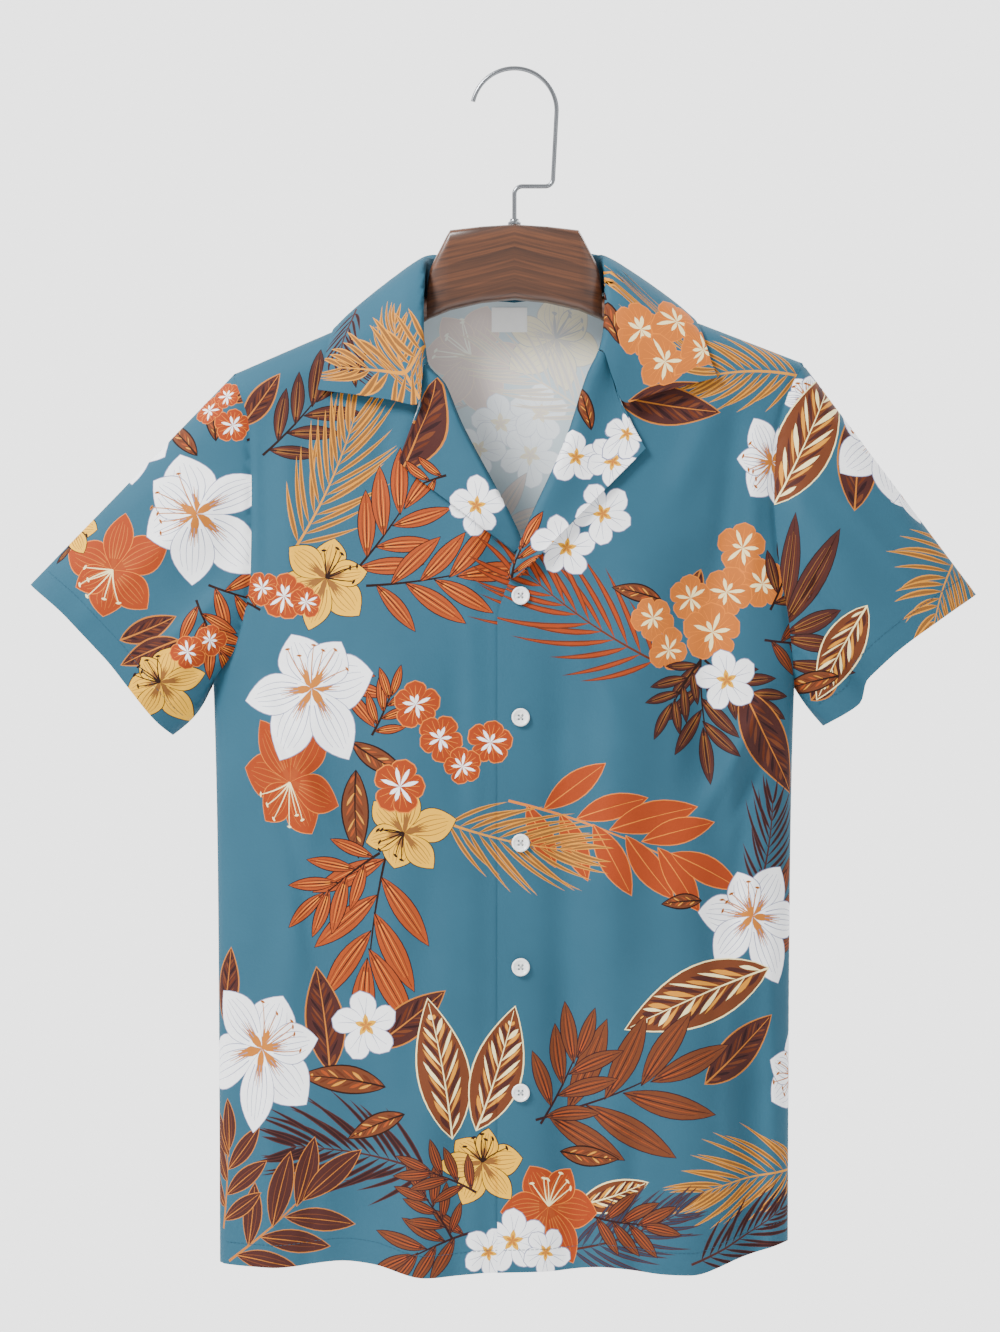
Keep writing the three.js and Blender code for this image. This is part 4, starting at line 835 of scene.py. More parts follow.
def lapel_sheet(side: Side) -> Sheet:
    """A turned-back lapel, from the front's edge round the roll to its point.

    Args:
        side: the wearer's side.

    Returns:
        Its cut sheet.
    """
    rows = np.array(LAPEL_ROWS[side], float)
    heights = np.unique(np.concatenate([rows[:, 0], np.linspace(rows[0, 0], rows[-1, 0], 70)]))
    edge_x, roll, out_x, out_z = (curve(heights) for curve in EDGE[side])
    leaf_x = np.interp(heights, rows[:, 0], rows[:, 1])
    leaf_z = np.interp(heights, rows[:, 0], rows[:, 2])
    lifted = np.interp(heights, rows[:, 0], rows[:, 3])
    cut = body_point(F, edge_x, heights, side is Side.RIGHT)
    sections = []
    for turn in np.linspace(0.02, math.pi, 18):
        reach = roll * np.sin(turn)
        lift = -TUCK + roll * (1 - np.cos(turn))
        sections.append(np.stack([cut[:, 0] + out_x * reach, cut[:, 1] - lift,
                                  cut[:, 2] + out_z * reach], -1))
    settled = LEAF_GAP + COLLAR_CLOTH / 2
    for share in np.linspace(0, 1, 50)[1:]:
        length = np.hypot(leaf_x - edge_x, leaf_z - heights) * share
        top = -TUCK + 2 * roll
        lift = settled + (top - settled) * np.exp(-((length / lifted) ** 2)) + 2.4 * share**3
        under = body_point(F, edge_x + (leaf_x - edge_x) * share,
                           heights + (leaf_z - heights) * share, side is Side.RIGHT)
        under[:, 1] -= lift
        sections.append(under)
    grid = np.stack(sections, 1)
    name = f"lapel_{side.name.lower()}"
    return sheet_from_sections(name, grid, -float(side.value), COLLAR_CLOTH)


def catmull_rom(points: np.ndarray, count: int) -> np.ndarray:
    """Smooth curve through points.

    Args:
        points: the points, one row each.
        count: how many places to read, evenly in its parameter.

    Returns:
        The places, one row each.
    """
    first, last = 2 * points[0] - points[1], 2 * points[-1] - points[-2]
    held = np.concatenate([[first], points, [last]])
    way = np.linspace(0, len(points) - 1, count)
    result = np.empty((count, 3))
    for n, at in enumerate(way):
        i = min(int(at), len(points) - 2)
        p0, p1, p2, p3 = held[i:i + 4]
        d0, d1, d2 = (np.linalg.norm(b - a) ** 0.5 for a, b in ((p0, p1), (p1, p2), (p2, p3)))
        t1 = ((p1 - p0) / d0 - (p2 - p0) / (d0 + d1) + (p2 - p1) / d1) * d1
        t2 = ((p2 - p1) / d1 - (p3 - p1) / (d1 + d2) + (p3 - p2) / d2) * d1
        t = at - i
        cube = (2 * p1 - 2 * p2 + t1 + t2) * t**3
        result[n] = p1 + t1 * t + (3 * p2 - 3 * p1 - 2 * t1 - t2) * t**2 + cube
    return result


def neck_place(side: Side, station: float) -> tuple[float, float]:
    """Where the neck seam runs.

    Args:
        side: the wearer's side.
        station: 0 at the gorge, 1 at the shoulder, 2 at the back's middle.

    Returns:
        Distance across and arc over the ridge.
    """
    if station <= 1:
        neck_z = float(ridge_z(np.array(side.value * NECK_X)))
        share = GORGE_SHARE[side] + (1 - GORGE_SHARE[side]) * station
        z = ARMPIT_Z[side] + (neck_z - ARMPIT_Z[side]) * share
        x = float(EDGE[side][0](z))
        return x, -float(arc_of_drop(ridge_z(np.array(x)) - z))
    x = side.value * NECK_X * (2 - station)
    return x, float(BACK_NECK(abs(x)))


def over_normal(x: float, arc: float) -> tuple[np.ndarray, np.ndarray]:
    """Point of the body over the ridge and its outward direction.

    Args:
        x: distance across.
        arc: way along the cloth from the ridge, negative to the front.

    Returns:
        The point and the direction.
    """
    xs = np.array([x, x + 0.1, x - 0.1, x, x])
    arcs = np.array([arc, arc, arc, arc + 0.1, arc - 0.1])
    point, east, west, on, off = over_ridge(xs, arcs)
    normal = np.cross(east - west, on - off)
    return point, normal / np.linalg.norm(normal)


def collar_section(side: Side, station: float, count: int = 90) -> np.ndarray:
    """The collar's middle line from the neck seam over the roll to its edge.

    Args:
        side: the wearer's side.
        station: 0 at the gorge, 1 at the shoulder, 2 at the back's middle.
        count: how many places to give.

    Returns:
        The places, one row each.
    """
    roll = np.array([float(curve(station)) for curve in COLLAR[side][:3]])
    edge_x, edge_arc = (float(curve(station)) for curve in COLLAR[side][3:])
    neck = neck_place(side, station)
    point, normal = over_normal(*neck)
    seam = point - normal * TUCK
    rise = roll - seam
    front = max(1 - station / 0.8, 0)
    standing = seam + rise * 0.5 + np.array([-side.value * 3.6 * front, 0, 1.6 * front**2])

    def leaf(share: float) -> np.ndarray:
        """A place on the turned-down leaf.

        Args:
            share: how far from the neck seam to the edge, 0 to 1.

        Returns:
            Its point.
        """
        x = neck[0] + (edge_x - neck[0]) * share
        arc = neck[1] + (edge_arc - neck[1]) * share
        turned = max(1 - station / 0.6, 0) ** 1.5
        if turned > 0:
            notch_x, notch_z = NOTCH[side]
            notch = (notch_x, -float(arc_of_drop(ridge_z(np.array(notch_x)) - notch_z)))
            start = neck_place(side, 0)
            tip = (float(COLLAR[side][3](0)), float(COLLAR[side][4](0)))
            for i in range(2):
                straight = start[i] + (tip[i] - start[i]) * share
                if share < 0.28:
                    bent = start[i] + (notch[i] - start[i]) * share / 0.28
                else:
                    bent = notch[i] + (tip[i] - notch[i]) * (share - 0.28) / 0.72
                if i == 0:
                    x += (bent - straight) * turned
                else:
                    arc += (bent - straight) * turned
        under, out = over_normal(x, arc)
        lift = LEAF_GAP + COLLAR_CLOTH / 2 + 0.8 * math.sin(math.pi * share)
        lift += 2.8 * max(1 - station / 0.8, 0) * float(smooth(np.array(share), 0.5, 1))
        return under + rise * (1 - share) ** 0.8 + out * lift

    up = roll - standing
    ease = min(float(np.linalg.norm(up)) * 0.35, 4.5)
    up = up / np.linalg.norm(up)
    down = leaf(0.16) - roll
    down = down / np.linalg.norm(down)
    corner = roll + (up - down) * ease / 4
    points = [seam, standing, corner - up * ease, roll, corner + down * ease]
    points += [leaf(share) for share in (0.16, 0.3, 0.48, 0.66, 0.84, 1)]
    return catmull_rom(np.array(points), count)


def collar_sheet() -> Sheet:
    """The collar, from the right gorge round the back to the left gorge.

    Returns:
        Its cut sheet.
    """
    ways = np.concatenate([np.linspace(0, 1, 34), np.linspace(1.008, 1.3, 34), np.linspace(1.32, 2, 22)])
    sections = [collar_section(R, station) for station in ways]
    sections += [collar_section(L, station) for station in ways[::-1][1:]]
    return sheet_from_sections("collar", np.array(sections), 1.0, COLLAR_CLOTH)


class Ink(Enum):
    """Colours of the print; each value is the dye's own sRGB colour on the right side."""

    GROUND = "2B5467"
    WHITE = "F7F8FA"
    LILAC = "797C9C"
    TAN = "AE6824"
    CREAM = "F2E0A4"
    RUST = "933814"
    SALMON = "D07322"
    OCHRE = "E4AA28"
    SIENNA = "805224"
    SOOT = "200C06"
    ORANGE = "954019"
    UMBER = "582814"
    APRICOT = "B56324"
    MAROON = "41201C"
    PLUM = "291214"
    BARK = "64341D"
    GOLD = "C98426"
    YELLOW = "D69A14"
    INDIGO = "293245"


INKS = list(Ink)
Patch = tuple[Ink, np.ndarray]


def blade(length: float, width: float, peak: float = 0.5, fullness: float = 1.0, bend: float = 0.0,
          steps: int = 9) -> np.ndarray:
    """A pointed oval from the origin along +X.

    Args:
        length, width: its size in mm.
        peak: where along it is widest, 0 to 1.
        fullness: below 1 for rounder ends, above 1 for sharper ones.
        bend: sideways bend at its tip, as a share of its length.
        steps: places along each side.

    Returns:
        Its outline, anticlockwise.
    """
    t = np.linspace(0, 1, steps)
    half = width / 2 * np.sin(math.pi * t ** (math.log(0.5) / math.log(peak))) ** fullness
    half[0] = half[-1] = 0
    lift = bend * length * t * t
    lower = np.stack([length * t, lift - half], -1)
    upper = np.stack([length * t, lift + half], -1)[::-1][1:-1]
    return np.concatenate([lower, upper])


def stroke(points: np.ndarray, width: float, tip: float = 0.25) -> np.ndarray:
    """A drawn line that thins towards its tip.

    Args:
        points: the line's places, one row each.
        width: its width at its start, in mm.
        tip: its width at its tip, as a share of that.

    Returns:
        Its outline.
    """
    points = np.asarray(points, float)
    way = np.gradient(points, axis=0)
    way /= np.maximum(np.linalg.norm(way, axis=1, keepdims=True), 1e-9)
    across = np.stack([-way[:, 1], way[:, 0]], -1)
    thin = np.linspace(width / 2, width / 2 * tip, len(points))[:, None]
    return np.concatenate([points - across * thin, (points + across * thin)[::-1]])


def turned(points: np.ndarray, degrees: float, at: tuple[float, float] = (0, 0)) -> np.ndarray:
    """Points turned about the origin and then moved."""
    c, s = math.cos(math.radians(degrees)), math.sin(math.radians(degrees))
    return points @ np.array([[c, s], [-s, c]]) + np.array(at)


def all_turned(patches: list[Patch], degrees: float, at: tuple[float, float] = (0, 0)) -> list[Patch]:
    """Patches turned together about the origin and then moved."""
    return [(ink, turned(points, degrees, at)) for ink, points in patches]


def arc_points(length: float, bend: float, count: int = 6, start: float = 0.0) -> np.ndarray:
    """Points along a bowed line from the origin."""
    t = np.linspace(start, 1, count)
    return np.stack([length * t, bend * length * t * t], -1)


@dataclass(frozen=True)
class Bloom:
    """Colours of a flower: its edge, petals, veins, throat and stamens."""

    edge: Ink
    petal: Ink
    vein: Ink
    throat: Ink
    stamen: Ink


WHITE_LILY = Bloom(Ink.LILAC, Ink.WHITE, Ink.LILAC, Ink.TAN, Ink.TAN)
RUST_LILY = Bloom(Ink.SALMON, Ink.RUST, Ink.APRICOT, Ink.ORANGE, Ink.CREAM)
OCHRE_LILY = Bloom(Ink.SOOT, Ink.OCHRE, Ink.SIENNA, Ink.SIENNA, Ink.SOOT)


def petal(bloom: Bloom, length: float, width: float, bend: float, veins: int = 5) -> list[Patch]:
    """One lily petal along +X with its edge, veins and throat.

    Args:
        bloom: its colours.
        length, width: its size in mm.
        bend: sideways bend at its tip, as a share of its length.
        veins: how many veins run along it.

    Returns:
        Its patches.
    """
    edge = blade(length + 0.9, width + 1.3, 0.54, 0.9, bend, 13)
    patches = [(bloom.edge, edge - np.array([0.3, 0])),
               (bloom.petal, blade(length, width, 0.54, 0.9, bend, 13)),
               (bloom.throat, blade(length * 0.36, width * 0.2, 0.4, 1.1, bend * 0.3, 6))]
    for slant in (-0.2, -0.09, 0.07, 0.19):
        t = np.array([0.08, 0.3, 0.5 - 0.5 * abs(slant)])
        line = np.stack([length * t, bend * length * t * t + slant * width * t * 1.3], -1)
        patches.append((bloom.throat, stroke(line, 1.5, 0.2)))
    for i in range(veins):
        offset = (i - (veins - 1) / 2) / veins * 1.45
        t = np.linspace(0.2, 0.86 - 0.16 * abs(offset), 6)
        half = width / 2 * np.sin(math.pi * t**1.125) ** 0.9
        line = np.stack([length * t, bend * length * t * t + offset * half], -1)
        patches.append((bloom.vein, stroke(line, 0.7, 0.4)))
    return patches


def lily(size: float, turn: float, bloom: Bloom, seed: int) -> list[Patch]:
    """A six-petalled lily seen a little from the side, with its stamens.

    Args:
        size: length of a petal in mm.
        turn: the way it leans, in degrees.
        bloom: its colours.
        seed: what its unevenness is drawn from.

    Returns:
        Its patches.
    """
    rng = np.random.default_rng(seed)
    patches = []
    for ring, fat in ((1, 0.62), (0, 0.5)):
        for i in range(3):
            angle = turn + 120 * i + 60 * ring + rng.uniform(-9, 9)
            away = math.cos(math.radians(angle - turn - 200))
            length = size * (0.86 + 0.16 * away + rng.uniform(-0.05, 0.05))
            shape = petal(bloom, length, size * fat * rng.uniform(0.92, 1.12), rng.uniform(-0.15, 0.15))
            patches += all_turned(shape, angle)
    for i in range(6):
        angle = turn + 20 + (i - 2.5) * 19 + rng.uniform(-5, 5)
        length = size * rng.uniform(0.42, 0.6)
        bend = rng.uniform(-0.22, 0.22)
        line = turned(arc_points(length, bend), angle)
        patches.append((bloom.stamen, stroke(line, 1.3, 0.5)))
        anther = blade(4.6, 1.9, 0.5, 0.7, 0, 6) - np.array([2.3, 0])
        patches.append((bloom.stamen, turned(anther, angle + 70 + rng.uniform(-25, 25), tuple(line[-1]))))
        if bloom is not WHITE_LILY:
            continue
        core = blade(3.0, 0.8, 0.5, 0.7, 0, 5) - np.array([1.5, 0])
        patches.append((Ink.UMBER, turned(core, angle + 70, tuple(line[-1]))))
    return patches


def blossom(size: float, turn: float, petals: Ink, rim: Ink, heart: Ink, seed: int) -> list[Patch]:
    """A small five-lobed blossom with an uneven spoked heart.

    Args:
        size: length of a lobe in mm.
        turn: its turn in degrees.
        petals, rim, heart: its colours.
        seed: what its unevenness is drawn from.

    Returns:
        Its patches.
    """
    rng = np.random.default_rng(seed)
    patches = []
    for i in range(5):
        angle = turn + 72 * i + rng.uniform(-6, 6)
        length = size * rng.uniform(0.9, 1.05)
        lobe = blade(length, length * 0.92, 0.66, 0.58, 0, 9)
        inner = blade(length * 0.96, length * 0.86, 0.66, 0.58, 0, 9)
        patches += [(rim, turned(lobe, angle)), (petals, turned(inner, angle))]
        for side in (-1, 0, 1):
            line = turned(arc_points(length * 0.78, 0.12 * side, 4, 0.3), angle + side * 13)
            patches.append((rim, stroke(line, 0.6, 0.4)))
    for i in range(7):
        angle = turn + 51 * i + rng.uniform(-12, 12)
        spoke = blade(size * rng.uniform(0.4, 0.74), size * 0.15, 0.6, 0.8, 0, 5)
        patches.append((heart, turned(spoke, angle)))
    return patches


def plumeria(size: float, turn: float, seed: int) -> list[Patch]:
    """A five-petalled white flower with a yellow throat.

    Args:
        size: length of a petal in mm.
        turn: its turn in degrees.
        seed: what its unevenness is drawn from.

    Returns:
        Its patches.
    """
    rng = np.random.default_rng(seed)
    patches = []
    for i in range(5):
        angle = turn + 72 * i + rng.uniform(-5, 5)
        length = size * rng.uniform(0.93, 1.05)
        for ink, rim in ((Ink.LILAC, 0.6), (Ink.WHITE, 0)):
            lobe = blade(length + rim, length * 0.74 + 2 * rim, 0.62, 0.56, 0.1, 10)
            patches.append((ink, turned(lobe, angle)))
        for side in (-1, 1):
            line = turned(arc_points(length * 0.8, 0.16 * side + 0.05, 5, 0.34), angle)
            patches.append((Ink.LILAC, stroke(line, 0.5, 0.4)))
    for i in range(5):
        angle = turn + 72 * i
        patches.append((Ink.YELLOW, turned(blade(size * 0.34, size * 0.17, 0.45, 0.9, 0, 6), angle)))
        patches.append((Ink.TAN, turned(blade(size * 0.2, size * 0.08, 0.45, 0.9, 0, 5), angle)))
    return patches


def palm(size: float, turn: float, fill: Ink, edge: Ink, bend: float, leaflets: int,
         seed: int) -> list[Patch]:
    """A palm frond: thin curved leaflets off a bowed stem.

    Args:
        size: length of its stem in mm.
        turn: the way it points, in degrees.
        fill, edge: its colours.
        bend: sideways bend of its stem, as a share of its length.
        leaflets: the most leaflets on each side; a small frond has fewer.
        seed: what its unevenness is drawn from.

    Returns:
        Its patches.
    """
    rng = np.random.default_rng(seed)
    leaflets = round(min(leaflets, 4 + size / 11))
    stem = arc_points(size, bend, 12)
    patches = []
    for i in range(leaflets):
        t = 0.1 + 0.86 * i / (leaflets - 1)
        base = np.array([size * t, bend * size * t * t])
        slope = math.degrees(math.atan(2 * bend * t))
        for side in (-1, 1):
            length = size * (0.52 * math.sin(math.pi * (0.18 + 0.7 * t)) + 0.06) * rng.uniform(0.85, 1.1)
            angle = slope + side * (52 - 30 * t + rng.uniform(-5, 5))
            wide = max(size * 0.032, 2.4) * rng.uniform(0.85, 1.15)
            curl = -side * rng.uniform(0.1, 0.24)
            whole = blade(length, wide, 0.4, 0.9, curl, 8)
            inner = blade(length * 0.93, wide * 0.55, 0.4, 0.9, curl * 0.93, 7)
            patches.append((edge, turned(whole, angle, tuple(base))))
            patches.append((fill, turned(inner, angle, tuple(base))))
    patches.append((edge, stroke(stem, 2.0, 0.35)))
    return all_turned(patches, turn)


def streaked_leaf(length: float, width: float, fill: Ink, edge: Ink, streak: tuple[Ink, ...],
                  bend: float, streaks: int) -> list[Patch]:
    """A narrow leaf along +X with lines drawn along it.

    Args:
        length, width: its size in mm.
        fill, edge: its colours.
        streak: colours of its lines, in turn.
        bend: sideways bend at its tip, as a share of its length.
        streaks: how many lines.

    Returns:
        Its patches.
    """
    patches = [(edge, blade(length + 1.4, width + 1.5, 0.5, 0.85, bend, 10) - np.array([0.5, 0])),
               (fill, blade(length, width, 0.5, 0.85, bend, 10))]
    for i in range(streaks):
        offset = (i - (streaks - 1) / 2) / max(streaks, 1) * 1.35
        t = np.linspace(0.1 + 0.05 * (i % 2), 0.84 - 0.1 * abs(offset), 5)
        half = width / 2 * np.sin(math.pi * t) ** 0.85
        line = np.stack([length * t, bend * length * t * t + offset * half], -1)
        patches.append((streak[i % len(streak)], stroke(line, 0.9, 0.3)))
    patches.append((edge, stroke(arc_points(length * 0.94, bend), 0.9, 0.4)))
    return patches


def spray(size: float, turn: float, fill: Ink, edge: Ink, streak: tuple[Ink, ...], leaflets: int,
          plump: float, bend: float, streaks: int, leaf_share: float, seed: int) -> list[Patch]:
    """A twig with narrow pointed leaves on both sides and one at its end.

    Args:
        size: length of the whole in mm.
        turn: the way it points, in degrees.
        fill, edge: its colours.
        streak: colours of the lines along its leaves, in turn.
        leaflets: how many leaves.
        plump: width of a leaf as a share of its length.
        bend: sideways bend of the twig, as a share of its length.
        streaks: how many lines on each leaf.
        leaf_share: length of a leaf as a share of the whole.
        seed: what its unevenness is drawn from.

    Returns:
        Its patches.
    """
    rng = np.random.default_rng(seed)
    patches = [(edge, stroke(arc_points(size * 0.72, bend, 8), 2.0, 0.5))]
    for i in range(leaflets):
        last = i == leaflets - 1
        t = 0.72 if last else 0.08 + 0.58 * i / max(leaflets - 2, 1)
        side = 0 if last else (1 if i % 2 else -1)
        base = (size * t, bend * size * t * t)
        angle = math.degrees(math.atan(2 * bend * t)) + side * (50 - 24 * t + rng.uniform(-6, 6))
        length = size * (leaf_share + 0.08 * math.sin(math.pi * t)) * rng.uniform(0.9, 1.1)
        leaf = streaked_leaf(length, length * plump, fill, edge, streak, rng.uniform(-0.1, 0.1), streaks)
        patches += all_turned(leaf, angle, base)
    return all_turned(patches, turn)


def striped_leaf(size: float, turn: float, fill: Ink, edge: Ink, stripes: tuple[Ink, ...],
                 width: float, bend: float, pairs: int, seed: int) -> list[Patch]:
    """A broad leaf with coloured wedges between its side veins.

    Args:
        size: its length in mm.
        turn: the way it points, in degrees.
        fill, edge: its colours.
        stripes: colours of its wedges, in turn.
        width: its width as a share of its length.
        bend: sideways bend at its tip, as a share of its length.
        pairs: how many pairs of wedges.
        seed: what its unevenness is drawn from.

    Returns:
        Its patches.
    """
    rng = np.random.default_rng(seed)
    wide = size * width
    patches = [(edge, blade(size + 2.2, wide + 2.4, 0.46, 0.9, bend, 14) - np.array([0.9, 0])),
               (fill, blade(size, wide, 0.46, 0.9, bend, 14))]
    power = math.log(0.5) / math.log(0.46)
    for i in range(pairs):
        t = 0.05 + 0.8 * i / (pairs - 1)
        for side in (-1, 1):
            reach = min(t + 0.1, 0.98)
            half = wide / 2 * math.sin(math.pi * reach**power) ** 0.9 * 0.93
            length = half / math.sin(math.radians(38)) * rng.uniform(0.8, 1.0)
            ink = stripes[(i + (side > 0)) % len(stripes)]
            wedge = blade(length, size * 0.029 * rng.uniform(0.6, 1.3), 0.6, 0.8, -side * 0.06, 6)
            base = (size * t, bend * size * t * t)
            slope = math.degrees(math.atan(2 * bend * t))
            patches.append((ink, turned(wedge, slope + side * 34, base)))
    patches.append((edge, stroke(arc_points(size * 0.97, bend, 8), 1.5, 0.3)))
    return all_turned(patches, turn)


# Each motif: how it is drawn, and the colours, counts and shares it is drawn with, in the order
# that its function names them
MOTIFS: dict[str, tuple[Callable[..., list[Patch]], tuple]] = {
    "white_lily": (lily, (WHITE_LILY,)),
    "rust_lily": (lily, (RUST_LILY,)),
    "ochre_lily": (lily, (OCHRE_LILY,)),
    "rust_blossom": (blossom, (Ink.RUST, Ink.SALMON, Ink.WHITE)),
    "tan_blossom": (blossom, (Ink.APRICOT, Ink.SALMON, Ink.CREAM)),
    "plumeria": (plumeria, ()),
    "gold_palm": (palm, (Ink.SIENNA, Ink.GOLD, 0.16, 13)),
    "rust_palm": (palm, (Ink.RUST, Ink.UMBER, -0.16, 11)),
    "dark_palm": (palm, (Ink.PLUM, Ink.MAROON, 0.14, 15)),
    "blue_palm": (palm, (Ink.INDIGO, Ink.MAROON, 0.18, 13)),
    "orange_spray": (spray, (Ink.ORANGE, Ink.SOOT, (Ink.UMBER, Ink.SALMON), 7, 0.25, 0.08, 5, 0.5)),
    "flat_spray": (spray, (Ink.RUST, Ink.SALMON, (Ink.ORANGE,), 10, 0.33, -0.12, 1, 0.27)),
    "dark_spray": (spray, (Ink.MAROON, Ink.SOOT, (Ink.BARK, Ink.SIENNA), 7, 0.24, 0.1, 5, 0.46)),
    "maroon_spray": (spray, (Ink.BARK, Ink.PLUM, (Ink.MAROON, Ink.ORANGE), 7, 0.25, 0.1, 5, 0.5)),
    "plum_spray": (spray, (Ink.MAROON, Ink.TAN, (Ink.BARK,), 7, 0.3, 0.1, 3, 0.45)),
    "striped_leaf": (striped_leaf, (Ink.BARK, Ink.CREAM, (Ink.CREAM, Ink.MAROON, Ink.GOLD), 0.38, 0.08, 15)),
    "maroon_leaf": (striped_leaf, (Ink.MAROON, Ink.TAN, (Ink.BARK, Ink.PLUM, Ink.UMBER), 0.36, 0.06, 11)),
    "amber_leaf": (striped_leaf, (Ink.BARK, Ink.SOOT, (Ink.ORANGE, Ink.UMBER, Ink.GOLD), 0.3, 0.1, 9)),
}


def print_of(kind: str, size: float, turn: float, seed: int) -> list[Patch]:
    """The patches of a named motif.

    Args:
        kind: its name in MOTIFS, or plum_leaf for a single leaf with nothing uneven in it.
        size: its length or radius in mm.
        turn: the way it points, in degrees from +X.
        seed: what its unevenness is drawn from.

    Returns:
        Its patches, about the origin.
    """
    if kind == "plum_leaf":
        leaf = streaked_leaf(size, size * 0.2, Ink.MAROON, Ink.SOOT, (Ink.UMBER, Ink.SIENNA), 0.05, 6)
        return all_turned(leaf, turn)
    draw, settings = MOTIFS[kind]
    return draw(size, turn, *settings, seed)


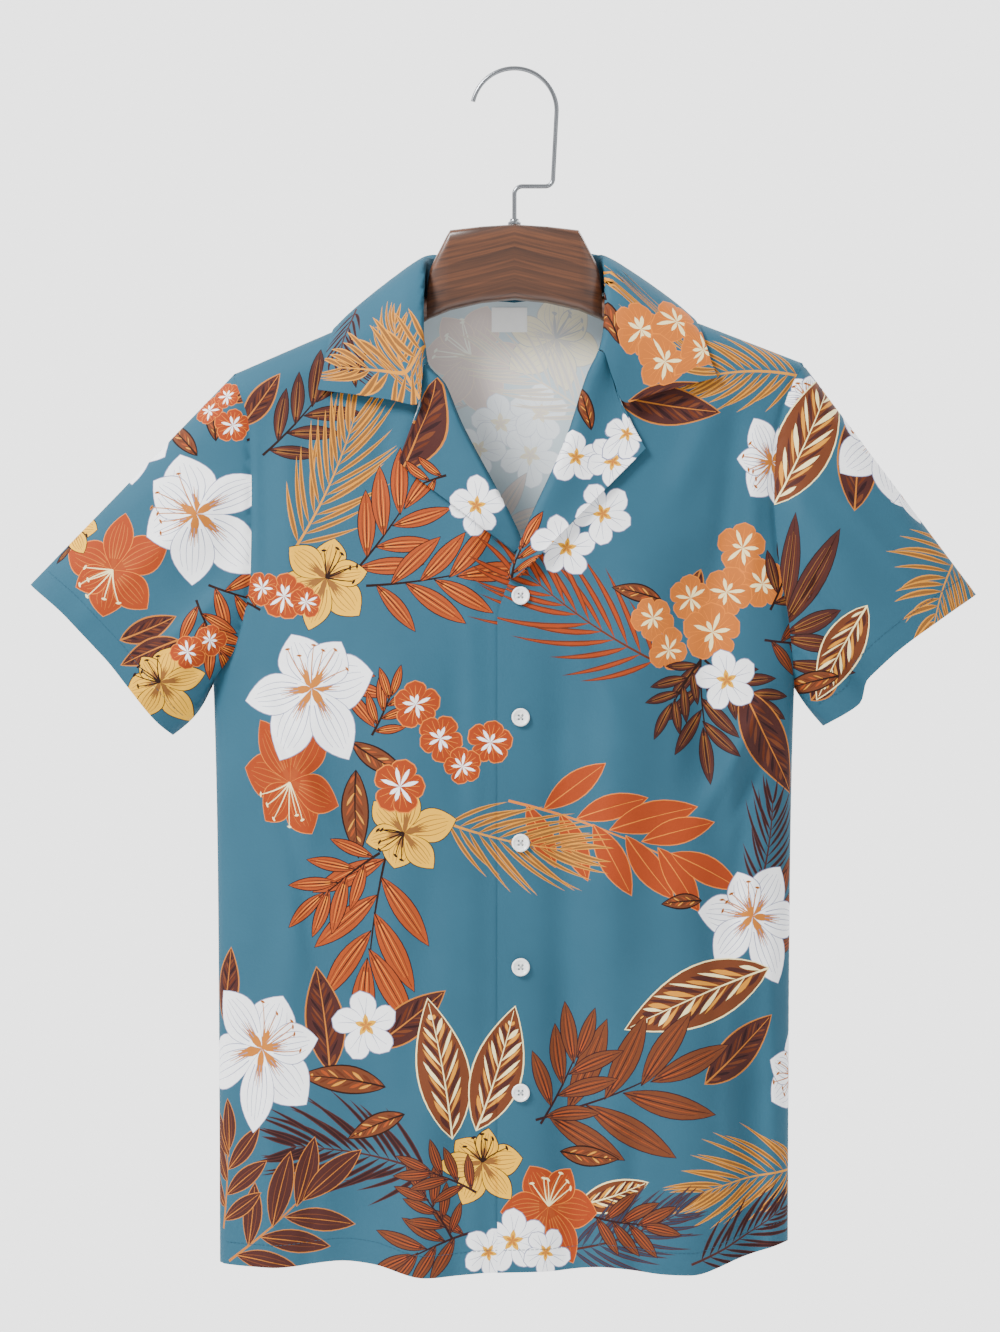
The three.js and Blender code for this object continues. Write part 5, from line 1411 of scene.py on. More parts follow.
# The print, charted for each sheet: kind, place across and down in chart units of 0.76 mm from the chart's
# corner, size in units, turn in degrees. Later rows lie on top.
UNIT = 0.76
CHART_X, CHART_Z = 514.0, 67.0
Row = tuple[str, float, float, float, float]
CHART: dict[str, list[Row]] = {
    "sleeve_right": [
        ("maroon_leaf", 232, 402, 62, 38), ("dark_spray", 246, 440, 60, 20),
        ("orange_spray", 208, 585, 90, -22), ("orange_spray", 196, 600, 76, -70),
        ("maroon_leaf", 120, 640, 60, 20), ("maroon_leaf", 178, 640, 62, 200),
        ("rust_lily", 112, 570, 62, 200), ("white_lily", 196, 514, 80, 150),
        ("amber_leaf", 196, 455, 50, 128), ("amber_leaf", 215, 440, 44, 95),
        ("rust_blossom", 232, 425, 19, 10), ("rust_blossom", 208, 410, 17, 50),
        ("rust_blossom", 226, 396, 15, 30), ("ochre_lily", 160, 682, 48, 130),
        ("rust_blossom", 210, 640, 18, 0), ("rust_blossom", 188, 652, 19, 40),
        ("dark_spray", 76, 545, 40, 170),
    ],
    "front_right": [
        ("dark_spray", 262, 455, 105, 40), ("maroon_leaf", 240, 425, 66, 48),
        ("gold_palm", 290, 556, 150, 56), ("orange_spray", 352, 575, 116, 48),
        ("orange_spray", 366, 586, 126, 2), ("orange_spray", 300, 640, 92, -52),
        ("orange_spray", 260, 610, 70, 150), ("ochre_lily", 326, 578, 56, 20),
        ("rust_blossom", 284, 596, 24, 10), ("rust_blossom", 262, 588, 18, 44),
        ("rust_blossom", 306, 602, 17, 80), ("plumeria", 480, 508, 31, 30),
        ("amber_leaf", 352, 742, 66, -36), ("amber_leaf", 356, 770, 86, -94),
        ("orange_spray", 372, 735, 60, 60), ("rust_lily", 290, 782, 74, 235),
        ("white_lily", 312, 688, 80, 60), ("orange_spray", 388, 846, 156, 256),
        ("orange_spray", 380, 852, 96, 212), ("gold_palm", 436, 818, 140, -22),
        ("ochre_lily", 404, 832, 52, 190), ("rust_blossom", 416, 704, 25, 20),
        ("rust_blossom", 440, 738, 24, 60), ("rust_blossom", 490, 742, 24, 10),
        ("rust_blossom", 462, 766, 20, 35), ("rust_blossom", 400, 786, 28, 5),
        ("rust_palm", 668, 668, 182, 158), ("dark_palm", 440, 1172, 160, 163),
        ("plum_spray", 228, 1262, 140, 34), ("plum_spray", 222, 1230, 110, 80),
        ("maroon_leaf", 330, 1070, 104, 94), ("amber_leaf", 385, 1085, 88, 168),
        ("maroon_leaf", 372, 1046, 92, 34), ("maroon_leaf", 222, 1020, 72, 78),
        ("white_lily", 262, 1048, 84, 16), ("plumeria", 366, 1024, 34, 22),
        ("striped_leaf", 452, 1136, 140, 96), ("striped_leaf", 476, 1128, 128, 68),
        ("amber_leaf", 404, 1112, 62, 198), ("maroon_spray", 470, 1230, 84, 196),
        ("maroon_spray", 452, 1236, 70, 118), ("ochre_lily", 482, 1160, 48, 70),
        ("maroon_spray", 476, 1190, 70, 150), ("rust_lily", 540, 1206, 52, 40),
        ("plumeria", 488, 1250, 26, 60),
    ],
    "front_left": [
        ("gold_palm", 808, 376, 112, 176), ("maroon_leaf", 614, 396, 106, -12),
        ("rust_palm", 668, 668, 182, 158), ("plumeria", 566, 548, 30, 10), ("plumeria", 602, 514, 30, 40),
        ("maroon_leaf", 700, 570, 46, 250), ("amber_leaf", 660, 600, 52, 162),
        ("tan_blossom", 742, 548, 27, 10), ("tan_blossom", 762, 584, 27, 34),
        ("tan_blossom", 726, 592, 26, 60), ("tan_blossom", 690, 598, 25, 20),
        ("tan_blossom", 652, 618, 24, 50), ("tan_blossom", 668, 650, 23, 0),
        ("dark_spray", 700, 655, 100, -92), ("dark_spray", 704, 660, 88, -40),
        ("dark_spray", 700, 660, 72, -130), ("maroon_leaf", 742, 688, 118, -66),
        ("tan_blossom", 712, 632, 30, 15), ("plumeria", 726, 680, 32, 25), ("dark_spray", 770, 610, 92, 62),
        ("maroon_spray", 764, 640, 90, -8), ("white_lily", 772, 462, 58, 175),
        ("flat_spray", 508, 800, 236, -13), ("gold_palm", 436, 818, 140, -22),
        ("rust_blossom", 490, 742, 24, 10), ("maroon_spray", 762, 962, 84, 68),
        ("dark_palm", 756, 900, 100, 72), ("amber_leaf", 700, 900, 44, 178),
        ("white_lily", 752, 916, 68, 112), ("striped_leaf", 768, 968, 150, 199),
        ("maroon_leaf", 704, 1082, 100, 38), ("white_lily", 796, 1078, 60, 150),
        ("maroon_spray", 535, 1118, 170, 14), ("maroon_spray", 540, 1122, 104, 56),
        ("amber_leaf", 560, 1150, 60, -12), ("gold_palm", 818, 1172, 138, 176),
        ("striped_leaf", 578, 1204, 74, 14), ("striped_leaf", 476, 1128, 128, 68),
        ("blue_palm", 560, 1250, 130, 8), ("dark_palm", 690, 1262, 110, 20),
        ("maroon_spray", 590, 1214, 76, -14), ("rust_lily", 548, 1204, 60, 62),
        ("ochre_lily", 482, 1160, 48, 70), ("plumeria", 512, 1238, 33, 12), ("plumeria", 545, 1250, 26, 50),
    ],
    "sleeve_left": [
        ("plum_leaf", 780, 622, 112, 80), ("plum_leaf", 782, 628, 120, 56), ("plum_leaf", 784, 634, 90, 22),
        ("plum_leaf", 782, 640, 84, 2), ("plum_leaf", 784, 664, 80, -2), ("white_lily", 808, 398, 34, 70),
        ("striped_leaf", 774, 504, 154, 60), ("maroon_leaf", 854, 510, 112, 84),
        ("white_lily", 900, 478, 52, 200), ("gold_palm", 985, 500, 196, 245),
        ("maroon_leaf", 812, 700, 70, 60), ("striped_leaf", 866, 606, 104, 238),
        ("amber_leaf", 838, 676, 60, 190),
    ],
    "collar": [
        ("dark_palm", 356, 308, 74, 256), ("gold_palm", 420, 400, 72, 112),
        ("plum_leaf", 356, 388, 34, 104), ("gold_palm", 800, 402, 118, 150),
        ("maroon_leaf", 628, 402, 90, -8), ("amber_leaf", 618, 344, 60, 100),
        ("tan_blossom", 640, 330, 30, 18), ("tan_blossom", 676, 322, 27, 50),
        ("tan_blossom", 664, 362, 29, 5), ("tan_blossom", 702, 350, 24, 30),
        ("amber_leaf", 606, 300, 50, 130),
    ],
    "lapel_right": [
        ("maroon_leaf", 400, 474, 112, 62), ("plumeria", 476, 506, 30, 10),
        ("orange_spray", 446, 476, 56, 196),
    ],
    "lapel_left": [
        ("orange_spray", 505, 592, 66, 64), ("plumeria", 560, 545, 29, 20), ("plumeria", 575, 458, 28, 12),
        ("plumeria", 612, 462, 29, 44), ("plumeria", 626, 434, 22, 70), ("plumeria", 604, 512, 30, 40),
        ("amber_leaf", 590, 430, 40, 100),
    ],
    "back": [
        ("orange_spray", 470, 400, 90, 200), ("rust_lily", 470, 352, 66, 120),
        ("ochre_lily", 556, 334, 58, 40), ("plumeria", 500, 420, 32, 20), ("plumeria", 530, 452, 33, 50),
        ("plumeria", 540, 410, 30, 5), ("plumeria", 478, 446, 28, 60), ("gold_palm", 600, 420, 130, 140),
        ("dark_spray", 520, 520, 120, 230), ("gold_palm", 300, 420, 150, 60),
        ("maroon_leaf", 270, 480, 96, 60), ("white_lily", 370, 470, 76, 40),
        ("orange_spray", 330, 560, 130, 200), ("orange_spray", 420, 560, 120, 20),
        ("rust_lily", 300, 640, 72, 150), ("tan_blossom", 690, 420, 29, 10),
        ("tan_blossom", 730, 440, 28, 40), ("tan_blossom", 704, 470, 27, 70),
        ("plumeria", 748, 482, 30, 20), ("dark_spray", 700, 520, 120, -80),
        ("striped_leaf", 640, 560, 140, 240), ("white_lily", 560, 600, 78, 200),
        ("rust_palm", 480, 700, 170, 160), ("ochre_lily", 420, 640, 54, 60),
        ("rust_blossom", 380, 690, 26, 10), ("rust_blossom", 412, 720, 25, 40),
        ("rust_blossom", 362, 732, 24, 80), ("flat_spray", 540, 760, 220, -16),
        ("maroon_leaf", 690, 640, 110, -60), ("white_lily", 730, 700, 76, 110),
        ("gold_palm", 300, 840, 150, 30), ("maroon_spray", 250, 760, 130, 60),
        ("white_lily", 430, 860, 80, 20), ("striped_leaf", 500, 880, 140, 60),
        ("orange_spray", 360, 920, 130, 240), ("plumeria", 330, 800, 32, 10),
        ("dark_spray", 620, 900, 130, 210), ("rust_lily", 680, 860, 70, 250),
        ("tan_blossom", 740, 820, 27, 20), ("maroon_leaf", 560, 960, 110, 100),
        ("ochre_lily", 520, 1000, 54, 120), ("gold_palm", 760, 1000, 150, 170),
        ("dark_palm", 420, 1060, 150, 160), ("white_lily", 280, 1040, 80, 60),
        ("maroon_leaf", 340, 1090, 100, 20), ("plumeria", 250, 960, 32, 40),
        ("striped_leaf", 620, 1120, 140, 40), ("rust_blossom", 560, 1080, 26, 0),
        ("rust_blossom", 590, 1060, 25, 30), ("maroon_spray", 300, 1200, 130, 30),
        ("rust_lily", 480, 1200, 66, 80), ("plumeria", 440, 1180, 32, 20),
        ("white_lily", 740, 1140, 78, 160), ("orange_spray", 640, 1220, 130, 20),
        ("blue_palm", 560, 1240, 120, 10), ("maroon_leaf", 760, 1230, 96, 120),
        ("ochre_lily", 380, 1220, 48, 30),
    ],
}
# The hidden side of each sleeve and of the collar carries the same kinds of motif
BACK_CHART: dict[str, list[Row]] = {
    "sleeve_right": [
        ("gold_palm", 120, 640, 140, 50), ("white_lily", 190, 480, 72, 60),
        ("rust_lily", 110, 590, 58, 160), ("maroon_leaf", 210, 560, 96, 250),
        ("plumeria", 170, 620, 30, 10), ("orange_spray", 190, 690, 90, 60),
        ("rust_blossom", 222, 430, 24, 20), ("dark_spray", 232, 640, 90, 240),
        ("ochre_lily", 84, 540, 40, 40),
    ],
    "sleeve_left": [
        ("gold_palm", 900, 640, 140, 120), ("white_lily", 850, 460, 70, 100),
        ("rust_lily", 890, 570, 60, 20), ("maroon_leaf", 812, 560, 96, 270), ("plumeria", 838, 620, 30, 40),
        ("orange_spray", 830, 690, 90, 100), ("tan_blossom", 800, 430, 26, 20),
        ("dark_spray", 940, 560, 80, 240), ("plumeria", 862, 676, 28, 0),
    ],
    "collar": [
        ("gold_palm", 420, 350, 110, 20), ("rust_lily", 514, 300, 46, 90), ("plumeria", 450, 290, 28, 20),
        ("maroon_leaf", 560, 330, 90, 20), ("tan_blossom", 600, 290, 26, 0),
        ("dark_palm", 640, 350, 100, 160), ("orange_spray", 470, 330, 80, 200),
        ("plumeria", 566, 276, 26, 60),
    ],
}


@dataclass
class Placer:
    """Finds where on a sheet a place seen from the front or the back lies."""

    sheet: Sheet

    def __post_init__(self) -> None:
        """Lays a fine grid of the sheet's flat places in space, to be searched."""
        low, high = self.sheet.outline.min(0), self.sheet.outline.max(0)
        s, t = np.meshgrid(np.linspace(low[0], high[0], 130), np.linspace(low[1], high[1], 130))
        flat = np.stack([s.ravel(), t.ravel()], -1)
        flat = flat[inside(flat, self.sheet.outline)]
        self.flat = flat
        self.point, self.normal = self.sheet.lay(flat)

    def place(self, patches: list[Patch], x: float, z: float, face: Face) -> list[Patch]:
        """Carries patches drawn about the origin to a place seen from the front or the back.

        Args:
            patches: the patches.
            x: distance across.
            z: height.
            face: the face it is seen on.

        Returns:
            The patches in the sheet's flat plane.
        """
        away = np.hypot(self.point[:, 0] - x, self.point[:, 2] - z)
        away = away + np.where(self.normal[:, 1] * face.value > 0.05, 0, 1e4)
        nearest = int(np.argmin(away))
        here, normal = self.point[nearest], self.normal[nearest]
        view_right = np.array([1.0, 0, 0])
        right = view_right - normal * normal[0]
        right /= max(np.linalg.norm(right), 1e-6)
        up = np.cross(normal, right) * (1 if face is Face.FRONT else -1)
        if up[2] < 0:
            up = -up
        flat = self.flat[nearest]
        step = 0.5
        ds = (self.sheet.lift(flat + [step, 0]) - self.sheet.lift(flat - [step, 0])) / (2 * step)
        dt = (self.sheet.lift(flat + [0, step]) - self.sheet.lift(flat - [0, step])) / (2 * step)
        carry = np.linalg.pinv(np.stack([ds, dt], -1)) @ np.stack([right, up], -1)
        shift = np.array([x - here[0], z - here[2]])
        return [(ink, (points + shift) @ carry.T + flat) for ink, points in patches]


def inside(points: np.ndarray, outline: np.ndarray) -> np.ndarray:
    """Which points lie inside a closed outline.

    Args:
        points: the points, one row each.
        outline: its places, one row each.

    Returns:
        True for each point inside.
    """
    x, y = points[:, 0], points[:, 1]
    found = np.zeros(len(points), bool)
    for (x0, y0), (x1, y1) in zip(outline, np.roll(outline, -1, axis=0)):
        if y0 == y1:
            continue
        crosses = (y0 > y) != (y1 > y)
        found ^= crosses & (x < (x1 - x0) * (y - y0) / (y1 - y0) + x0)
    return found


def srgb(code: str) -> tuple[float, float, float, float]:
    """Turns an sRGB colour into a linear one.

    Args:
        code: its six hex digits.

    Returns:
        Red, green, blue and a full alpha.
    """
    parts = [int(code[i:i + 2], 16) / 255 for i in (0, 2, 4)]
    linear = [p / 12.92 if p <= 0.04045 else ((p + 0.055) / 1.055) ** 2.4 for p in parts]
    return (*linear, 1.0)


def blend_hex(first: str, second: str, share: float) -> str:
    """Mixes two sRGB colours.

    Args:
        first, second: their six hex digits.
        share: how much of the second is in the mix, 0 to 1.

    Returns:
        The mix's six hex digits.
    """
    mixed = [round(int(first[i:i + 2], 16) * (1 - share) + int(second[i:i + 2], 16) * share)
             for i in (0, 2, 4)]
    return "".join(f"{value:02X}" for value in mixed)


def add_node(tree: bpy.types.NodeTree, kind: str, links: dict[str | int, bpy.types.NodeSocket],
             **settings: object) -> bpy.types.Node:
    """Adds a shader node with its settings and links.

    Args:
        tree: the tree it goes in.
        kind: its type.
        links: what feeds it, by the name or number of the socket that it feeds.
        settings: its properties; one named input_NAME sets that socket's value.

    Returns:
        The node.
    """
    node = tree.nodes.new(kind)
    for name, value in settings.items():
        if name.startswith("input_"):
            socket = name[6:].replace("_", " ")
            node.inputs[int(socket) if socket.isdigit() else socket].default_value = value
        else:
            setattr(node, name, value)
    for socket, feed in links.items():
        tree.links.new(feed, node.inputs[socket])
    return node


@dataclass(frozen=True)
class Finish:
    """How a surface looks: its colour, its gloss and what breaks it up."""

    name: str
    colour: str
    roughness: float
    metallic: float = 0.0
    mottle: float = 0.0
    mottle_mm: float = 30.0
    bump: float = 0.0
    bump_mm: float = 3.0
    weave_mm: float = 0.0
    specular: float | None = None

    def make(self) -> bpy.types.Material:
        """Builds the finish as a node material.

        Returns:
            The material.
        """
        material = bpy.data.materials.new(self.name)
        material.use_nodes = True
        tree = material.node_tree
        shader = tree.nodes["Principled BSDF"]
        plain = {"Base Color": srgb(self.colour), "Roughness": self.roughness, "Metallic": self.metallic}
        if self.specular is not None:
            plain["Specular IOR Level"] = self.specular
        for socket, value in plain.items():
            shader.inputs[socket].default_value = value
        place = add_node(tree, "ShaderNodeTexCoord", {}).outputs["Object"]
        if self.mottle:
            noise = add_node(tree, "ShaderNodeTexNoise", {"Vector": place},
                             input_Scale=METRE / self.mottle_mm, input_Detail=3.0)
            level = add_node(tree, "ShaderNodeMapRange", {"Value": noise.outputs["Fac"]},
                             input_From_Min=0.3, input_From_Max=0.7,
                             input_To_Min=1 - self.mottle, input_To_Max=1 + self.mottle)
            tint = add_node(tree, "ShaderNodeHueSaturation", {"Value": level.outputs["Result"]},
                            input_Color=srgb(self.colour))
            tree.links.new(tint.outputs["Color"], shader.inputs["Base Color"])
        if self.bump:
            grain = add_node(tree, "ShaderNodeTexNoise", {"Vector": place},
                             input_Scale=METRE / self.bump_mm, input_Detail=2.0)
            relief = add_node(tree, "ShaderNodeBump", {"Height": self.threads(tree, grain.outputs["Fac"])},
                              input_Strength=self.bump, input_Distance=MM)
            tree.links.new(relief.outputs["Normal"], shader.inputs["Normal"])
        return material

    def threads(self, tree: bpy.types.NodeTree, uneven: bpy.types.NodeSocket) -> bpy.types.NodeSocket:
        """Adds warp and weft along the sheet's cut plane to an uneven ground, where the finish is woven.

        Args:
            tree: the material's tree.
            uneven: the height of the ground.

        Returns:
            The height with the threads in it.
        """
        if not self.weave_mm:
            return uneven
        plane = add_node(tree, "ShaderNodeUVMap", {}, uv_map=CUT_PLANE).outputs["UV"]
        level = uneven
        for direction in "XY":
            yarn = add_node(tree, "ShaderNodeTexWave", {"Vector": plane}, bands_direction=direction,
                            input_Scale=math.pi / 10 * METRE / self.weave_mm, input_Distortion=0.6)
            total = add_node(tree, "ShaderNodeMath", {0: yarn.outputs["Fac"], 2: level},
                             operation="MULTIPLY_ADD", input_1=0.18)
            level = total.outputs["Value"]
        return level


# What the wrong side's colours fade towards; the print shows through paler, and the fade is pushed further as
# painted light that brightens the dimly lit inside
WASHED_OUT_AND_PAINTED_LIGHT = "F1F7FA"


def cloth_finishes() -> list[bpy.types.Material]:
    """Builds the printed cotton in each ink.

    Returns:
        Materials for the right side and then, in the same order, for the wrong side, paler partly as painted
        light.
    """
    made = []
    for wrong in (False, True):
        for ink in INKS:
            # Seen: matt dyed colour with a faint unevenness and a fine plain weave; on the wrong side the
            # same print shows through, washed out towards white, and made paler still as painted light that
            # brightens the dimly lit inside of the shirt
            colour = blend_hex(ink.value, WASHED_OUT_AND_PAINTED_LIGHT, 0.79) if wrong else ink.value
            side = "wrong_side" if wrong else "right_side"
            name = f"printed_cotton_{ink.name.lower()}_{side}"
            made.append(Finish(name, colour, 0.72, mottle=0.05, mottle_mm=60, bump=0.16, bump_mm=2.2,
                               weave_mm=0.7, specular=0.16).make())
    return made


def ink_runs(tris: np.ndarray, slots: np.ndarray) -> list[list[int]]:
    """The lines where two inks meet or the cloth ends, as runs of places from junction to junction.

    Args:
        tris: the flat triangles, three places each.
        slots: the ink of each triangle.

    Returns:
        The runs. A ring with no junction ends at the place it starts from.
    """
    sides = np.sort(np.concatenate([tris[:, [0, 1]], tris[:, [1, 2]], tris[:, [2, 0]]]), axis=1)
    order = np.lexsort((sides[:, 1], sides[:, 0]))
    sides, inks = sides[order], np.tile(slots, 3)[order]
    within = np.all(sides[1:] == sides[:-1], axis=1) & (inks[1:] == inks[:-1])
    border = np.ones(len(sides), bool)
    border[:-1][within] = False
    border[1:][within] = False
    edges = [tuple(edge) for edge in np.unique(sides[border], axis=0).tolist()]
    near: dict[int, list[int]] = {}
    for a, b in edges:
        near.setdefault(a, []).append(b)
        near.setdefault(b, []).append(a)
    left = set(edges)
    junctions = [(a, b) for a, around in near.items() if len(around) != 2 for b in around]
    runs = []
    for a, b in junctions + edges:
        if (min(a, b), max(a, b)) not in left:
            continue
        run = [a, b]
        left.discard((min(a, b), max(a, b)))
        while len(near[run[-1]]) == 2 and run[-1] != a:
            ahead = near[run[-1]][0] if near[run[-1]][0] != run[-2] else near[run[-1]][1]
            left.discard((min(run[-1], ahead), max(run[-1], ahead)))
            run.append(ahead)
        runs.append(run)
    return runs


def thinned(run: list[int], verts: np.ndarray) -> list[int]:
    """Leaves out places of a run that lie within RUN_SLACK of a straight step of up to RUN_STEP.

    Args:
        run: the run's places, by number.
        verts: where each numbered place lies.

    Returns:
        The places that stay, by number.
    """
    points = verts[run]
    kept, here = [run[0]], 0
    while here < len(run) - 1:
        ahead = here + 1
        while ahead + 1 < len(run):
            chord = points[ahead + 1] - points[here]
            length = math.hypot(chord[0], chord[1])
            if not 1e-6 < length < RUN_STEP:
                break
            off = points[here + 1:ahead + 1] - points[here]
            if np.abs(chord[0] * off[:, 1] - chord[1] * off[:, 0]).max() > RUN_SLACK * length:
                break
            ahead += 1
        kept.append(run[ahead])
        here = ahead
    return kept


def redrawn(sheet: Sheet, outline: np.ndarray, verts: np.ndarray, tris: np.ndarray, slots: np.ndarray,
            loose: np.ndarray) -> tuple[np.ndarray, list[list[int]], list[int]]:
    """Draws the printed areas again from their visible borders alone, which takes far fewer triangles.

    Args:
        sheet: the cut sheet.
        outline: its outline, anticlockwise.
        verts: places of the first drawing, in the flat plane.
        tris: its triangles.
        slots: the ink of each triangle.
        loose: places of the sheet's grid.

    Returns:
        Places, triangles and the ink of each triangle.
    """
    runs = [thinned(run, verts) for run in ink_runs(tris, slots)]
    used = sorted({i for run in runs for i in run})
    renumber = {old: new for new, old in enumerate(used)}
    edges = [(renumber[a], renumber[b]) for run in runs for a, b in zip(run, run[1:])]
    tree = KDTree(len(used))
    for i, old in enumerate(used):
        tree.insert((*verts[old], 0), i)
    tree.balance()
    loose = loose[[tree.find((*place, 0))[2] > sheet.grid / 8 for place in loose.tolist()]]
    flat = np.concatenate([verts[used], loose, sheet.crease])
    edges += [(i, i + 1) for i in range(len(flat) - len(sheet.crease), len(flat) - 1)]
    places, _, faces, _, _, _ = delaunay_2d_cdt([Vector(p) for p in flat], edges, [], 0, CDT_SNAP, False)
    first = BVHTree.FromPolygons([(x, y, 0) for x, y in verts.tolist()], tris.tolist())
    places = np.array([tuple(place) for place in places])
    centres = places[np.array(faces)].mean(1)
    holds = np.nonzero(inside(centres, outline))[0].tolist()
    inks = [int(slots[first.find_nearest((*centres[i], 0))[2]]) for i in holds]
    return places, [list(faces[i]) for i in holds], inks


def grid_places(sheet: Sheet, outline: np.ndarray) -> np.ndarray:
    """Places over a sheet that let it bend, in staggered rows and where it asks for more.

    Args:
        sheet: the cut sheet.
        outline: its outline, anticlockwise.

    Returns:
        The places inside the outline, in the flat plane.
    """
    low, high = outline.min(0), outline.max(0)
    s, t = np.meshgrid(np.arange(low[0], high[0], sheet.grid), np.arange(low[1], high[1], sheet.grid))
    s = s + (np.arange(s.shape[0]) % 2)[:, None] * sheet.grid / 2
    loose = np.concatenate([np.stack([s.ravel(), t.ravel()], -1), sheet.extra])
    return loose[inside(loose, outline)]


def first_drawing(sheet: Sheet, outline: np.ndarray, patches: list[Patch],
                  loose: np.ndarray) -> tuple[np.ndarray, np.ndarray, np.ndarray]:
    """Cuts a sheet's flat plane along the edge of every patch and inks each triangle by the top one.

    Args:
        sheet: the cut sheet.
        outline: its outline, anticlockwise.
        patches: printed areas in the flat plane, the first lying lowest.
        loose: places of the sheet's grid.

    Returns:
        Places, triangles and the ink of each triangle.
    """
    low, high = outline.min(0), outline.max(0)
    areas, inks = [outline], [Ink.GROUND]
    for ink, points in patches:
        if np.any(points.max(0) < low) or np.any(points.min(0) > high):
            continue
        areas.append(anticlockwise(points))
        inks.append(ink)
    starts = np.cumsum([0] + [len(area) for area in areas]).tolist()
    faces = [list(range(start, stop)) for start, stop in zip(starts, starts[1:])]
    flat = np.concatenate([*areas, loose, sheet.crease])
    edges = [(i, i + 1) for i in range(len(flat) - len(sheet.crease), len(flat) - 1)]
    verts, _, tris, _, _, owners = delaunay_2d_cdt([Vector(p) for p in flat], edges, faces, 1, CDT_SNAP, True)
    verts, tris = np.array([tuple(place) for place in verts]), np.array(tris)
    centres = verts[tris].mean(1)
    owned: dict[int, list[int]] = {}
    for place, owner in enumerate(owners):
        for patch in owner:
            owned.setdefault(patch, []).append(place)
    top = np.where(inside(centres, outline), 0, -1)
    for patch in sorted(owned)[1:]:
        places = np.array(owned[patch])
        places = places[(top[places] >= 0) & inside(centres[places], areas[patch])]
        top[places] = patch
    held = top >= 0
    LOG.info("%s: %d printed areas", sheet.name, len(areas) - 1)
    return verts, tris[held], np.array([INKS.index(inks[patch]) for patch in top[held]])


def thickened(sheet: Sheet, places: np.ndarray, tris: list[list[int]], slots: list[int],
              materials: list[bpy.types.Material], centred: bool) -> bpy.types.Object:
    """Lays drawn triangles in space and gives them the cloth's thickness and a wrong side.

    Args:
        sheet: the cut sheet.
        places: where its triangles' corners lie in the flat plane, in mm.
        tris: its triangles, right side out.
        slots: the ink of each triangle.
        materials: one for each ink on the right side, then one for each on the wrong side.
        centred: whether the sheet's places are its middle instead of its outside.

    Returns:
        The cloth's object.
    """
    points, normals = sheet.lay(places)
    if centred:
        points = points + normals * sheet.thickness / 2
    mesh = bpy.data.meshes.new(sheet.name)
    mesh.from_pydata((points * MM).tolist(), [], tris)
    for material in materials:
        mesh.materials.append(material)
    mesh.polygons.foreach_set("material_index", slots)
    corners = np.empty(len(mesh.loops), np.int64)
    mesh.loops.foreach_get("vertex_index", corners)
    mesh.uv_layers.new(name=CUT_PLANE).data.foreach_set("uv", (places[corners] * MM).ravel())
    cloth = bpy.data.objects.new(f"{sheet.name}_cloth", mesh)
    bpy.context.scene.collection.objects.link(cloth)
    solidify = cloth.modifiers.new("cloth", "SOLIDIFY")
    solidify.thickness = sheet.thickness * MM
    solidify.offset = -1
    solidify.use_rim = True
    solidify.material_offset = len(INKS)
    solid = bpy.data.meshes.new_from_object(cloth.evaluated_get(bpy.context.evaluated_depsgraph_get()))
    cloth.modifiers.clear()
    cloth.data = solid
    bpy.data.meshes.remove(mesh)
    solid.name = sheet.name
    # The wrong side lies one thickness under the right side along the cloth's own smooth normals
    under = points - normals * sheet.thickness
    solid.vertices.foreach_set("co", (np.concatenate([points, under]) * MM).ravel())
    solid.update()
    set_cloth_normals(solid, normals, len(tris))
    return cloth


def shell_from(sheet: Sheet, patches: list[Patch], materials: list[bpy.types.Material],
               centred: bool = False) -> bpy.types.Object:
    """Cuts a sheet into its printed areas, lays it in space and gives it thickness.

    Args:
        sheet: the cut sheet.
        patches: printed areas in the sheet's flat plane, the first lying lowest.
        materials: one for each ink on the right side, then one for each on the wrong side.
        centred: whether the sheet's places are its middle instead of its outside.

    Returns:
        The cloth's object.
    """
    outline = anticlockwise(sheet.outline)
    loose = grid_places(sheet, outline)
    verts, kept, slots = redrawn(sheet, outline, *first_drawing(sheet, outline, patches, loose), loose)
    if sheet.outward < 0:
        kept = [tri[::-1] for tri in kept]
    used = sorted({i for tri in kept for i in tri})
    renumber = {old: new for new, old in enumerate(used)}
    tris = [[renumber[i] for i in tri] for tri in kept]
    return thickened(sheet, np.array([verts[i] for i in used], float), tris, slots, materials, centred)


def set_cloth_normals(mesh: bpy.types.Mesh, normals: np.ndarray, count: int) -> None:
    """Shades both faces of the cloth by the surface it lies on, and leaves its rim crisp.

    Args:
        mesh: the cloth, its right side first and then its wrong side and its rim.
        normals: outward direction at each place of the right side.
        count: how many faces the right side has.
    """
    total = len(mesh.loops)
    vertex = np.empty(total, np.int64)
    mesh.loops.foreach_get("vertex_index", vertex)
    starts = np.empty(len(mesh.polygons), np.int64)
    mesh.polygons.foreach_get("loop_start", starts)
    sizes = np.empty(len(mesh.polygons), np.int64)
    mesh.polygons.foreach_get("loop_total", sizes)
    flat = np.empty(len(mesh.polygons) * 3)
    mesh.polygons.foreach_get("normal", flat)
    owner = np.repeat(np.arange(len(sizes)), sizes)
    result = flat.reshape(-1, 3)[owner]
    outer, inner = owner < count, (owner >= count) & (owner < 2 * count)
    result[outer] = normals[vertex[outer] % len(normals)]
    result[inner] = -normals[vertex[inner] % len(normals)]
    mesh.polygons.foreach_set("use_smooth", np.ones(len(mesh.polygons), bool))
    mesh.normals_split_custom_set(result.tolist())


# Seen: reddish brown wood with a soft gloss; its grain comes from walnut_material
WALNUT = Finish("hanger_walnut_lacquered", "5B3222", 0.38)
# Seen: milky white discs with a bright clean gloss and a faint cloudiness
PEARL = Finish("button_pearl_polished", "F4F5F3", 0.22, mottle=0.03, mottle_mm=4)
